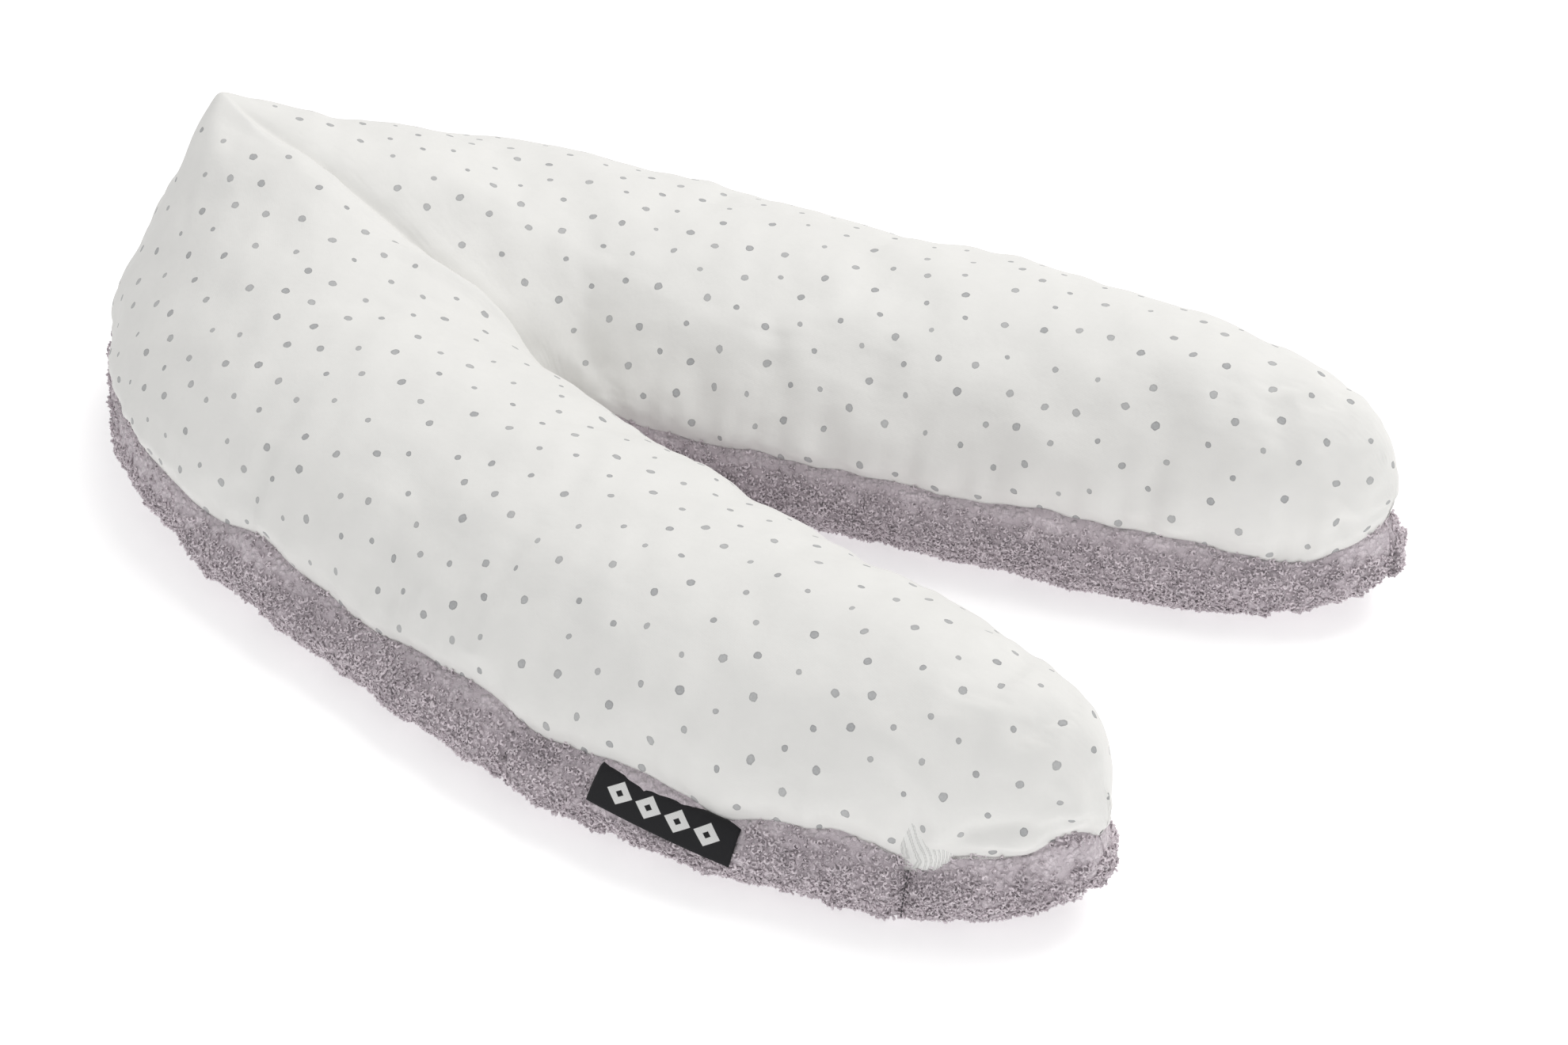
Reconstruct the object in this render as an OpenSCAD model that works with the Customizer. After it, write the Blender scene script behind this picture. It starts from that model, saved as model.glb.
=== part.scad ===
// Crescent nursing pillow, folded into a tight V: a removable cover with a cotton top and a fleece
// base, a zip in the rear arm's seam, and an inner cushion sewn into a thin casing.
// Frame: origin on the floor at the middle of the bounding box, +X out of the V's mouth towards the
// tips, +Z up. The front arm lies at -Y and the rear arm at +Y. Millimetres.

/* [Pillow size] */
// Length from the nose of the fold to the tips
pillow_l = 847; // [780:1:900]
// Height of the peak that the fold pinches up
peak_h = 210; // [195:1:225]
// Height of an arm next to the fold
arm_h_fold = 190; // [175:1:194]
// Height of an arm halfway along
arm_h_mid = 147; // [135:1:160]
// Height that an arm swells to at its tip, before it rounds off
arm_h_tip = 170; // [155:1:180]
// Height of the seam between cotton and fleece
seam_z = 62; // [56:1:68]

/* [Plan outline of one arm] */
// X of the crotch, where the arms part
crotch_x = -92; // [-105:1:-80]
// X of the fold's peak
peak_x = -355; // [-362:1:-345]
// X where the nose's curve becomes the straight outer side
straight_x = -212; // [-220:1:-205]
// Y where the nose's curve becomes the straight outer side
straight_y = 215; // [208:1:222]
// Length of the straight outer side, which carries the zip
straight_l = 268; // [268:1:280]
// Angle between the straight outer side and the X axis
straight_a = 10.4; // [9:0.1:12]
// Angle between the arm's inner side and the X axis at the crotch
inner_a = 12; // [11:0.1:14]
// Y of the outermost point of the tip
tip_y = 174; // [168:1:180]
// Length over which the tip rounds off
tip_l = 221; // [200:1:240]

/* [Fabric and filling] */
// Thickness of the cotton top panel with its lining
cotton_t = 3; // [2:0.5:4]
// Thickness of the fleece base panel with its pile
fleece_t = 5; // [4:0.5:6]
// Thickness of the inner casing
casing_t = 1; // [0.8:0.1:1.2]
// Space between one layer and the next
layer_gap = 0.6; // [0.5:0.1:0.8]
// Height of the overlocked seam allowance inside the cover
allowance_h = 8; // [6:1:8]
// Space between the two halves at the fold
fold_gap = 0.5; // [0.4:0.1:1]

/* [Zip] */
// Length of the zip tapes
zip_l = 264; // [250:1:266]
// Width of one tape
tape_w = 12; // [11:0.5:13]
// Length of the slider
slider_l = 11; // [10:0.5:12]
// Length of the pull tab from its pivot
pull_l = 24; // [20:1:28]

/* [Labels] */
// Width of the woven label
label_w = 92; // [80:1:96]
// Height of the woven label
label_h = 26; // [22:1:28]
// Share of the outer side, from nose to tip, at which the labels sit
label_at = 0.716; // [0.7:0.001:0.73]

/* [Hidden] */

COTTON = [0.86, 0.855, 0.84];
FLEECE = [0.55, 0.52, 0.54];
CASING = [0.93, 0.93, 0.91];
FILLING = [0.96, 0.96, 0.94];
THREAD = [0.78, 0.77, 0.76];
ZIP_TAPE = [0.80, 0.79, 0.77];
ZIP_COIL = [0.88, 0.88, 0.86];
METAL = [0.70, 0.70, 0.71];
LABEL_BLACK = [0.07, 0.07, 0.07];
SATIN = [0.95, 0.95, 0.95];

$fn = 32;

// Stations along an arm and points across a panel, for the cover and for what lies inside it
cover_n = 44;
inner_n = 28;
top_m = 14;
base_m = 12;
inner_m = 10;

// Share of the inner side, next to the crotch, that the seam allowance leaves free
allowance_from = 0.3;

// Depth of each layer's outer face below the cover's surface
allowance_d = fleece_t + 2 * layer_gap;
allowance_t = 1.6;
casing_d = allowance_d + allowance_t + layer_gap;
filling_d = casing_d + casing_t + 2 * layer_gap;

// Shares of the outer side where the nose ends and where the tip's curve starts
nose_end = 0.32;
tip_start = 0.59;
// Lengths of the curve handles of the outline
nose_round = 61;
nose_handle = 135;
tip_handle = 150;
tip_round = 64;
crotch_handle = 228;
tip_inner_round = 81;

function lerp(a, b, t) = a + (b - a) * t;
function clamp01(t) = max(0, min(1, t));
function bezier(a, b, c, d, t) =
    pow(1 - t, 3) * a + 3 * pow(1 - t, 2) * t * b + 3 * (1 - t) * t * t * c + pow(t, 3) * d;
function heading(a) = [cos(a), sin(a)];
function left_of(v) = [-v[1], v[0]];

// Outer side of the rear arm in plan, from nose (w = 0) to tip (w = 1), moved inwards by d
side = heading(straight_a);
side_end = [straight_x, straight_y] + side * straight_l;
function nose_point(d) = [-pillow_l / 2 + d, 0];
function tip_point(d) = [pillow_l / 2 - d, tip_y];
function straight_point(w, d) =
    [straight_x, straight_y] + side * straight_l * (w - nose_end) / (tip_start - nose_end)
    - left_of(side) * d;
function outer_point(w, d) =
    w < nose_end ? bezier(nose_point(d), nose_point(d) + [0, nose_round],
                          straight_point(nose_end, d) - side * nose_handle,
                          straight_point(nose_end, d), w / nose_end)
    : w < tip_start ? straight_point(w, d)
    : bezier(straight_point(tip_start, d), straight_point(tip_start, d) + side * tip_handle,
             tip_point(d) + [0, tip_round], tip_point(d), (w - tip_start) / (1 - tip_start));

// Inner side of the rear arm in plan, from crotch to tip. The stations of the fold fan round the
// crotch, so the inner side starts slowly.
inner_dir = heading(inner_a);
function crotch_at(d) = crotch_x - 1.6 * d;
function inner_share(w) = 0.05 * w + 0.95 * pow(w, 2.6);
function inner_point(w, d) =
    bezier([crotch_at(d), 0],
           [crotch_at(d), 0] + inner_dir * crotch_handle + left_of(inner_dir) * d * 1.2,
           tip_point(d) - [0, tip_inner_round - d],
           tip_point(d), inner_share(w));

function path_length(p) =
    [for (i = [1 : len(p) - 1]) norm(p[i] - p[i - 1])] * [for (i = [1 : len(p) - 1]) 1];
outer_l = path_length([for (i = [0 : 60]) outer_point(i / 60, 0)]);

// Height of the arm's top, and how far the tip's rounding has closed the section, at share w
function peak_rise(s) = (peak_h - arm_h_fold) * exp(-pow(s / 110, 2));
function arm_height(w) =
    arm_h_fold * (1 - w) * (1 - 2 * w) + 4 * arm_h_mid * w * (1 - w) + arm_h_tip * w * (2 * w - 1)
    + peak_rise(w * outer_l);
function tip_close(w) =
    sqrt(max(0, 1 - pow(clamp01((w * outer_l - (outer_l - tip_l)) / tip_l), 2.4)));

// Cross-section across an arm: t runs from -1 at the inner side to 1 at the outer side. Next to
// the fold the ridge leans outwards and the outer wall runs straight up to it.
function ridge_t(w) = 0.57 * exp(-pow(w * outer_l / 154, 2));
function wall_power(w, t) =
    t > ridge_t(w) ? lerp(2.03, 1.32, exp(-pow(w * outer_l / 200, 2))) : 2.03;
function from_ridge(w, t) =
    t > ridge_t(w) ? (t - ridge_t(w)) / (1 - ridge_t(w)) : (ridge_t(w) - t) / (1 + ridge_t(w));
function superellipse(u, q) = pow(max(0, 1 - pow(u, q)), 1 / q);
function dome(w, t) = superellipse(from_ridge(w, t), wall_power(w, t));
// The base is flat over the middle half of its width
function tray(t) = superellipse(max(0, abs(t) - 0.5) / 0.5, 3.2);

// Depth of the inner layers under the peak, as a multiple of their depth elsewhere
peak_depth = 1.9;
function layer_depth(w, d) = d * lerp(1, peak_depth, exp(-pow(w * outer_l / 110, 2)));

// The fold's crease falls from the peak to the crotch and rounds over to each side of it
function crease_share(x, d) = clamp01((x - peak_x) / (crotch_at(d) - peak_x));
function crease_z(x, d) = seam_z + (peak_h - peak_depth * d - seam_z) * pow(1 - crease_share(x, d), 1.1);
function crease_r(x, d) = lerp(15, 37, clamp01(1.5 * crease_share(x, d)));
function crease_round(x, y, d) =
    sqrt(1 - pow(1 - clamp01(max(0, y - 0.8 * d) / crease_r(x, d)), 2));
function creased(x, y, z, d) =
    x <= peak_x ? z : min(z, lerp(crease_z(x, d), max(z, crease_z(x, d)), crease_round(x, y, d)));

// Half the gap left at the seam between the top and the base panel
seam_split = 0.5;
function plan_point(w, t, d) = lerp(inner_point(w, d), outer_point(w, d), (t + 1) / 2);
function top_point(w, t, d) =
    let (p = plan_point(w, t, d),
         z = seam_z + (arm_height(w) - layer_depth(w, d) - seam_z) * tip_close(w) * dome(w, t))
    [p[0], p[1] + fold_gap / 2, max(seam_z + seam_split, creased(p[0], p[1], z, d))];
function base_point(w, t, d) =
    let (p = plan_point(w, t, d))
    [p[0], p[1] + fold_gap / 2,
     min(seam_z - seam_split, seam_z - (seam_z - d) * tray(t) * pow(tip_close(w), 0.6))];
function tip_3d(d, z) = [tip_point(d)[0], tip_point(d)[1] + fold_gap / 2, z];

// Stations crowd towards the fold and the tip; points crowd towards the seam
function station(i, n) = lerp(i / n, (1 - cos(180 * i / n)) / 2, 0.6);
function across(j, m) = cos(180 * j / m);
function top_rows(n, m, d) =
    [for (i = [0 : n - 1]) [for (j = [0 : m]) top_point(station(i, n), across(j, m), d)]];
function base_rows(n, m, d) =
    [for (i = [0 : n - 1]) [for (j = [0 : m]) base_point(station(i, n), across(j, m), d)]];

function flat(rows) = [for (r = rows) each r];
function quad(a, b, c, d, flip) = flip ? [[a, c, b], [a, d, c]] : [[a, b, c], [a, c, d]];
function tri(a, b, c, flip) = flip ? [[a, c, b]] : [[a, b, c]];

// A panel with an outer and an inner face, open along its seam edge and at the fold, closed at the
// tip. Rows run from the outer side of the arm to its inner side.
module panel(face, back, face_tip, back_tip, flip) {
    n = len(face);
    c = len(face[0]);
    shift = n * c;
    tip_face = 2 * shift;
    tip_back = tip_face + 1;
    sheet_faces = [for (i = [0 : n - 2], j = [0 : c - 2])
        each quad(i * c + j, i * c + j + 1, (i + 1) * c + j + 1, (i + 1) * c + j, flip)];
    back_faces = [for (i = [0 : n - 2], j = [0 : c - 2])
        each quad(shift + i * c + j, shift + i * c + j + 1, shift + (i + 1) * c + j + 1,
                  shift + (i + 1) * c + j, !flip)];
    edge_outer = [for (i = [0 : n - 2])
        each quad(i * c, (i + 1) * c, shift + (i + 1) * c, shift + i * c, flip)];
    edge_inner = [for (i = [0 : n - 2])
        each quad(i * c + c - 1, (i + 1) * c + c - 1, shift + (i + 1) * c + c - 1,
                  shift + i * c + c - 1, !flip)];
    fold_edge = [for (j = [0 : c - 2]) each quad(j, j + 1, shift + j + 1, shift + j, !flip)];
    last = (n - 1) * c;
    tip_faces = [for (j = [0 : c - 2]) each tri(last + j, last + j + 1, tip_face, flip)];
    tip_backs = [for (j = [0 : c - 2])
        each tri(shift + last + j, shift + last + j + 1, tip_back, !flip)];
    tip_edges = concat(quad(last, tip_face, tip_back, shift + last, flip),
                       quad(last + c - 1, tip_face, tip_back, shift + last + c - 1, !flip));
    polyhedron(concat(flat(face), flat(back), [face_tip, back_tip]),
               concat(sheet_faces, back_faces, edge_outer, edge_inner, fold_edge, tip_faces,
                      tip_backs, tip_edges));
}

module top_panel(n, m, d, thickness) {
    panel(top_rows(n, m, d), top_rows(n, m, d + thickness),
          tip_3d(d, seam_z + seam_split), tip_3d(d + thickness, seam_z + seam_split), true);
}

module base_panel(n, m, d, thickness) {
    panel(base_rows(n, m, d), base_rows(n, m, d + thickness),
          tip_3d(d, seam_z - seam_split), tip_3d(d + thickness, seam_z - seam_split), false);
}

// A closed body from a stack of rings, flat at the fold and pointed at the tip
module stacked_rings(rows, tip) {
    n = len(rows);
    c = len(rows[0]);
    walls = [for (i = [0 : n - 2], j = [0 : c - 1])
        each quad(i * c + j, i * c + (j + 1) % c, (i + 1) * c + (j + 1) % c, (i + 1) * c + j, true)];
    fold_face = [for (j = [1 : c - 2]) [0, j, j + 1]];
    tip_face = [for (j = [0 : c - 1]) [(n - 1) * c + j, n * c, (n - 1) * c + (j + 1) % c]];
    polyhedron(concat(flat(rows), [tip]), concat(walls, fold_face, tip_face));
}

module filling_half() {
    rows = [for (i = [0 : inner_n - 1]) let (w = station(i, inner_n)) concat(
        [for (j = [0 : inner_m]) top_point(w, across(j, inner_m), filling_d)],
        [for (j = [inner_m : -1 : 0]) base_point(w, across(j, inner_m), filling_d)])];
    stacked_rings(rows, tip_3d(filling_d, seam_z));
}

// A ribbon of seam allowance that follows the whole seam of one half, standing against the cover
module allowance_half() {
    shares = [for (i = [0 : cover_n]) station(i, cover_n)];
    returning = [for (i = [cover_n - 1 : -1 : 0]) if (shares[i] > allowance_from) shares[i]];
    function edge(d) = concat([for (w = shares) outer_point(w, d)],
                              [for (w = returning) inner_point(w, d)]);
    outline = edge(allowance_d);
    inset = edge(allowance_d + allowance_t);
    translate([0, fold_gap / 2, seam_z - allowance_h / 2])
        linear_extrude(allowance_h)
            polygon(concat(outline, [for (i = [len(inset) - 1 : -1 : 0]) inset[i]]));
}

module front_half() {
    mirror([0, 1, 0]) children();
}

module cover_top_front() { color(COTTON) front_half() top_panel(cover_n, top_m, 0, cotton_t); }
module cover_top_rear() { color(COTTON) top_panel(cover_n, top_m, 0, cotton_t); }
module cover_base_front() { color(FLEECE) front_half() base_panel(cover_n, base_m, 0, fleece_t); }
module cover_base_rear() { color(FLEECE) base_panel(cover_n, base_m, 0, fleece_t); }
module seam_allowance_front() { color(THREAD) front_half() allowance_half(); }
module seam_allowance_rear() { color(THREAD) allowance_half(); }
module casing_top_front() { color(CASING) front_half() top_panel(inner_n, inner_m, casing_d, casing_t); }
module casing_top_rear() { color(CASING) top_panel(inner_n, inner_m, casing_d, casing_t); }
module casing_base_front() { color(CASING) front_half() base_panel(inner_n, inner_m, casing_d, casing_t); }
module casing_base_rear() { color(CASING) base_panel(inner_n, inner_m, casing_d, casing_t); }
module filling_front() { color(FILLING) front_half() filling_half(); }
module filling_rear() { color(FILLING) filling_half(); }

// Zip, in its own frame: X along the travel, Y out of the cover, Z up, origin mid-way on the seam
tape_y = 1.8;
tape_t = 0.6;
tape_edge = 0.7;
coil_y = tape_y + tape_t;
coil_t = 1.6;
coil_h = 1.9;
coil_l = zip_l - 12;
stop_l = 2;
stop_gap = 1;
slider_at = coil_l / 2 - slider_l / 2;
pull_pivot_y = 6.5;

module on_zip_line() {
    middle = straight_point((nose_end + tip_start) / 2, 0);
    translate([middle[0], middle[1] + fold_gap / 2, seam_z]) rotate([0, 0, straight_a]) children();
}

// A block from its X, Y and Z extents
module block(x0, x1, y0, y1, z0, z1) {
    translate([x0, y0, z0]) cube([x1 - x0, y1 - y0, z1 - z0]);
}

module zip_tape(side) {
    color(ZIP_TAPE) on_zip_line() mirror([0, 0, side < 0 ? 1 : 0])
        block(-zip_l / 2, zip_l / 2, tape_y, tape_y + tape_t, tape_edge, tape_edge + tape_w);
}

module zip_coil(side) {
    color(ZIP_COIL) on_zip_line() mirror([0, 0, side < 0 ? 1 : 0])
        block(-coil_l / 2, coil_l / 2, coil_y, coil_y + coil_t, tape_edge, tape_edge + coil_h);
}

module zip_top_stop(side) {
    color(METAL) on_zip_line() mirror([0, 0, side < 0 ? 1 : 0])
        block(coil_l / 2 + stop_gap, coil_l / 2 + stop_gap + stop_l, coil_y, coil_y + coil_t + 0.2,
              tape_edge, tape_edge + coil_h + 0.5);
}

module zip_tape_upper() { zip_tape(1); }
module zip_tape_lower() { zip_tape(-1); }
module zip_coil_upper() { zip_coil(1); }
module zip_coil_lower() { zip_coil(-1); }
module zip_top_stop_upper() { zip_top_stop(1); }
module zip_top_stop_lower() { zip_top_stop(-1); }

module zip_bottom_stop() {
    reach = tape_edge + coil_h + 0.5;
    color(METAL) on_zip_line()
        block(-coil_l / 2 - stop_gap - stop_l, -coil_l / 2 - stop_gap, coil_y, coil_y + coil_t + 0.4,
              -reach, reach);
}

// The slider's two wings hold the coils between flanges; a post parts them, and a bridge on the
// outer wing holds the pull tab
module zip_slider() {
    half = slider_l / 2;
    wing_w = 7.6;
    wing_t = 1.2;
    outer_wing_y = coil_y + coil_t + 0.4;
    bridge_y = outer_wing_y + wing_t;
    color(METAL) on_zip_line() translate([slider_at, 0, 0]) {
        block(-half, half, 0.4, 1.4, -wing_w / 2, wing_w / 2);
        block(-half, half, outer_wing_y, bridge_y, -wing_w / 2, wing_w / 2);
        block(half - 2.4, half - 0.8, 1.4, outer_wing_y, -0.35, 0.35);
        for (z = [-wing_w / 2, wing_w / 2 - 0.8])
            block(-half, half, coil_y + 0.3, outer_wing_y, z, z + 0.8);
        for (x = [-3.4, 2.2])
            block(x, x + 1.2, bridge_y, bridge_y + 2.8, -1.2, 1.2);
        block(-3.4, 3.4, bridge_y + 1.9, bridge_y + 2.8, -1.2, 1.2);
    }
}

module zip_pull_tab() {
    pin_r = 0.6;
    leg_in = 1.6;
    leg_w = 1.2;
    plate_from = 5;
    color(METAL) on_zip_line() translate([slider_at, pull_pivot_y, 0]) {
        cylinder(r = pin_r, h = 2 * (leg_in + leg_w), center = true);
        for (z = [-leg_in - leg_w, leg_in])
            block(-plate_from - 1, 0, -pin_r, pin_r, z, z + leg_w);
        difference() {
            union() {
                block(-pull_l + 4, -plate_from, -pin_r, pin_r, -leg_in - leg_w, leg_in + leg_w);
                translate([-pull_l + 4, 0, 0]) rotate([90, 0, 0])
                    cylinder(r = 4, h = 2 * pin_r, center = true);
            }
            translate([-pull_l + 4, 0, 0]) rotate([90, 0, 0])
                cylinder(r = 1.8, h = 4, center = true);
        }
    }
}

// A label hangs from the seam, flat against the fleece, where the outer side is nearly straight
module label(width, height, thickness) {
    step = 0.002;
    p = outer_point(label_at, 0);
    ahead = outer_point(label_at + step, 0) - p;
    stand_off = 0.6;
    translate([p[0], p[1] + fold_gap / 2, seam_z - seam_split])
        rotate([0, 0, atan2(ahead[1], ahead[0])])
            block(-width / 2, width / 2, stand_off, stand_off + thickness, -height, 0);
}

module woven_label() { color(LABEL_BLACK) front_half() label(label_w, label_h, 1.2); }
module care_label() { color(SATIN) label(30, 44, 0.4); }

cover_top_front();
cover_top_rear();
cover_base_front();
cover_base_rear();
seam_allowance_front();
seam_allowance_rear();
casing_top_front();
casing_top_rear();
casing_base_front();
casing_base_rear();
filling_front();
filling_rear();
zip_tape_upper();
zip_tape_lower();
zip_coil_upper();
zip_coil_lower();
zip_top_stop_upper();
zip_top_stop_lower();
zip_bottom_stop();
zip_slider();
zip_pull_tab();
woven_label();
care_label();
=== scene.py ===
"""Looks of a crescent nursing pillow: dotted cotton top, teddy fleece base, zip, labels, inner cushion."""

import logging
import math
from dataclasses import dataclass, field, replace
from enum import Enum
from typing import Callable, Optional, Sequence

import bmesh
import bpy
import numpy as np
from mathutils import Matrix, Vector
from mathutils.kdtree import KDTree


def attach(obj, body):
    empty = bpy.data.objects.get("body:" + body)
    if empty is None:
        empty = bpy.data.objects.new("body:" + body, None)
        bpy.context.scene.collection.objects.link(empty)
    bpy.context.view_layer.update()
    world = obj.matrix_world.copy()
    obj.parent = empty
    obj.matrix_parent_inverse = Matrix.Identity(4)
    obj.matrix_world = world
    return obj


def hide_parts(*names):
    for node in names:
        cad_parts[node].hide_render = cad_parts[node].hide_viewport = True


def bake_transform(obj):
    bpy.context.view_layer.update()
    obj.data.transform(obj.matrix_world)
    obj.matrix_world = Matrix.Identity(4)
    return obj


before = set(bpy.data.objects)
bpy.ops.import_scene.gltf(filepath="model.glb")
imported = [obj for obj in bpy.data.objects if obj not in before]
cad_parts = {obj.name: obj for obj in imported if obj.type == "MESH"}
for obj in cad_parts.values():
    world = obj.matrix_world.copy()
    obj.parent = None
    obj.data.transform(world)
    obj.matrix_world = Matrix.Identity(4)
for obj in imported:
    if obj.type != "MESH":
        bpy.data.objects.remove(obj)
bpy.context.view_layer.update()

log = logging.getLogger("pillow")
FRONT = "front_arm"
REAR = "rear_arm"
SLIDER = "slider"
PULL_TAB = "pull_tab"
ZIP_MIDDLE = (-0.08020, 0.23944, 0.062)
ZIP_ANGLE = 10.4

Points = np.ndarray
NodeTree = bpy.types.NodeTree
Node = bpy.types.Node
Socket = bpy.types.NodeSocket


class Arm(Enum):
    """The pillow's two arms, and the sign of Y on each."""

    FRONT_SIDE = -1
    REAR_SIDE = 1


class Layer(Enum):
    """The closed shapes that lie inside one another, by depth in metres below the cover's surface."""

    COVER = 0.0
    ALLOWANCE = 0.0062
    CASING = 0.0084
    FILLING = 0.0106


# --------------------------------------------------------------------------------------------------
# Small helpers for meshes and noise


def ripple(points: Points, scale: float, seed: int, waves: int = 14) -> Points:
    """Smooth noise as a sum of plane waves in seeded directions.

    Args:
        points: N by 2 or N by 3 places, in metres.
        scale: the typical distance from crest to crest, in metres.
        seed: picks the directions and phases.
        waves: how many waves are summed.

    Returns:
        N values, mostly between -1.5 and 1.5.
    """
    rng = np.random.default_rng(seed)
    directions = rng.normal(size=(waves, points.shape[1]))
    directions /= np.linalg.norm(directions, axis=1, keepdims=True)
    lengths = scale * rng.uniform(0.7, 1.5, waves)
    phases = rng.uniform(0, 2 * math.pi, waves)
    angles = points @ (2 * math.pi * directions / lengths[:, None]).T + phases
    return np.sin(angles).sum(axis=1) * math.sqrt(2 / waves)


def smoothstep(low: float, high: float, values: Points) -> Points:
    """Rises from 0 at low to 1 at high with flat ends."""
    t = np.clip((values - low) / (high - low), 0, 1)
    return t * t * (3 - 2 * t)


def bezier(a: Points, b: Points, c: Points, d: Points, t: Points) -> Points:
    """Points at shares t along the cubic curve with end points a and d and handles b and c."""
    t = t[:, None]
    return (1 - t) ** 3 * a + 3 * (1 - t) ** 2 * t * b + 3 * (1 - t) * t * t * c + t**3 * d


def add_object(name: str, data: bpy.types.ID) -> bpy.types.Object:
    """A new object at the origin, linked to the scene."""
    piece = bpy.data.objects.new(name, data)
    bpy.context.scene.collection.objects.link(piece)
    return piece


def mesh_object(name: str, vertices: Sequence, faces: Sequence) -> bpy.types.Object:
    """A new object at the origin, linked to the scene, from vertices and faces."""
    mesh = bpy.data.meshes.new(name)
    mesh.from_pydata([tuple(v) for v in vertices], [], [tuple(f) for f in faces])
    mesh.validate()
    return add_object(name, mesh)


def grid_faces(columns: int, across: int) -> list[tuple[int, ...]]:
    """The quads of a grid whose points run across first and then along."""
    return [
        (i * across + j, i * across + j + 1, (i + 1) * across + j + 1, (i + 1) * across + j)
        for i in range(columns) for j in range(across - 1)
    ]


def read_values(items: Sequence, key: str, width: int, kind: type = np.float32) -> Points:
    """One property of every item in a mesh's collection, as an N by width array."""
    flat = np.empty(len(items) * width, kind)
    items.foreach_get(key, flat)
    return flat.reshape(-1, width)


def coordinates(mesh: bpy.types.Mesh) -> Points:
    """The mesh's vertex places as an N by 3 array."""
    return read_values(mesh.vertices, "co", 3).astype(float)


def normals(mesh: bpy.types.Mesh) -> Points:
    """The mesh's vertex normals as an N by 3 array."""
    return read_values(mesh.vertex_normals, "vector", 3).astype(float)


def corner_vertices(mesh: bpy.types.Mesh) -> Points:
    """The index of the vertex at each face corner."""
    return read_values(mesh.loops, "vertex_index", 1, np.int32).ravel()


def tree_of(places: Sequence) -> KDTree:
    """A tree that finds the nearest of some places."""
    tree = KDTree(len(places))
    for i, place in enumerate(places):
        tree.insert(place, i)
    tree.balance()
    return tree


def move_vertices(mesh: bpy.types.Mesh, places: Points) -> None:
    """Puts the mesh's vertices at new places."""
    mesh.vertices.foreach_set("co", places.astype(np.float32).ravel())
    mesh.update()


def evened(mesh: bpy.types.Mesh, values: Points, rounds: int) -> Points:
    """A value for each vertex, averaged with its neighbours' a few times."""
    ends = read_values(mesh.edges, "vertices", 2, np.int32)
    near, far = ends.T
    count = len(values)
    neighbours = np.maximum(1, np.bincount(ends.ravel(), minlength=count))
    for _ in range(rounds):
        total = np.bincount(near, values[far], count) + np.bincount(far, values[near], count)
        values = 0.5 * values + 0.5 * total / neighbours
    return values


def settle(piece: bpy.types.Object) -> None:
    """Applies every modifier by keeping the evaluated mesh, so that none is left on the piece."""
    graph = bpy.context.evaluated_depsgraph_get()
    applied = bpy.data.meshes.new_from_object(
        piece.evaluated_get(graph), preserve_all_data_layers=True, depsgraph=graph
    )
    piece.modifiers.clear()
    old = piece.data
    piece.data = applied
    applied.name = piece.name
    bpy.data.meshes.remove(old)


def shade_smooth(piece: bpy.types.Object) -> None:
    """Shades every face of the piece smooth."""
    piece.data.polygons.foreach_set("use_smooth", [True] * len(piece.data.polygons))
    piece.data.update()


def give_material(piece: bpy.types.Object, material: bpy.types.Material) -> None:
    """Makes the material the piece's only one."""
    piece.data.materials.clear()
    piece.data.materials.append(material)


def round_edges(piece: bpy.types.Object, width: float, segments: int = 2) -> None:
    """Bevels the piece's sharp edges and applies the bevel."""
    bevel = piece.modifiers.new("rounded", "BEVEL")
    bevel.width = width
    bevel.segments = segments
    bevel.limit_method = "ANGLE"
    bevel.angle_limit = math.radians(35)
    settle(piece)
    shade_smooth(piece)


def refine(piece: bpy.types.Object, boundary: str = "ALL") -> None:
    """Subdivides the piece once."""
    finer = piece.modifiers.new("finer", "SUBSURF")
    finer.levels = finer.render_levels = 1
    finer.boundary_smooth = boundary
    settle(piece)


def thicken(piece: bpy.types.Object, thickness: float, offset: float) -> None:
    """Gives a sheet its thickness, and shades it smooth."""
    solid = piece.modifiers.new("thickness", "SOLIDIFY")
    solid.thickness, solid.offset = thickness, offset
    settle(piece)
    shade_smooth(piece)


def turn_over(piece: bpy.types.Object) -> None:
    """Mirrors a piece made above the zip's middle to below it."""
    piece.data.transform(Matrix.Scale(-1, 4, (0, 0, 1)))
    piece.data.flip_normals()


def follow_fold(piece: bpy.types.Object) -> None:
    """Bakes the piece's placing into its mesh."""
    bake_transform(piece)


def report(piece: bpy.types.Object, what: str) -> None:
    """Logs a finished piece with its face count."""
    log.info("%s: %s, %d faces", piece.name, what, len(piece.data.polygons))


# --------------------------------------------------------------------------------------------------
# The pillow's form


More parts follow.
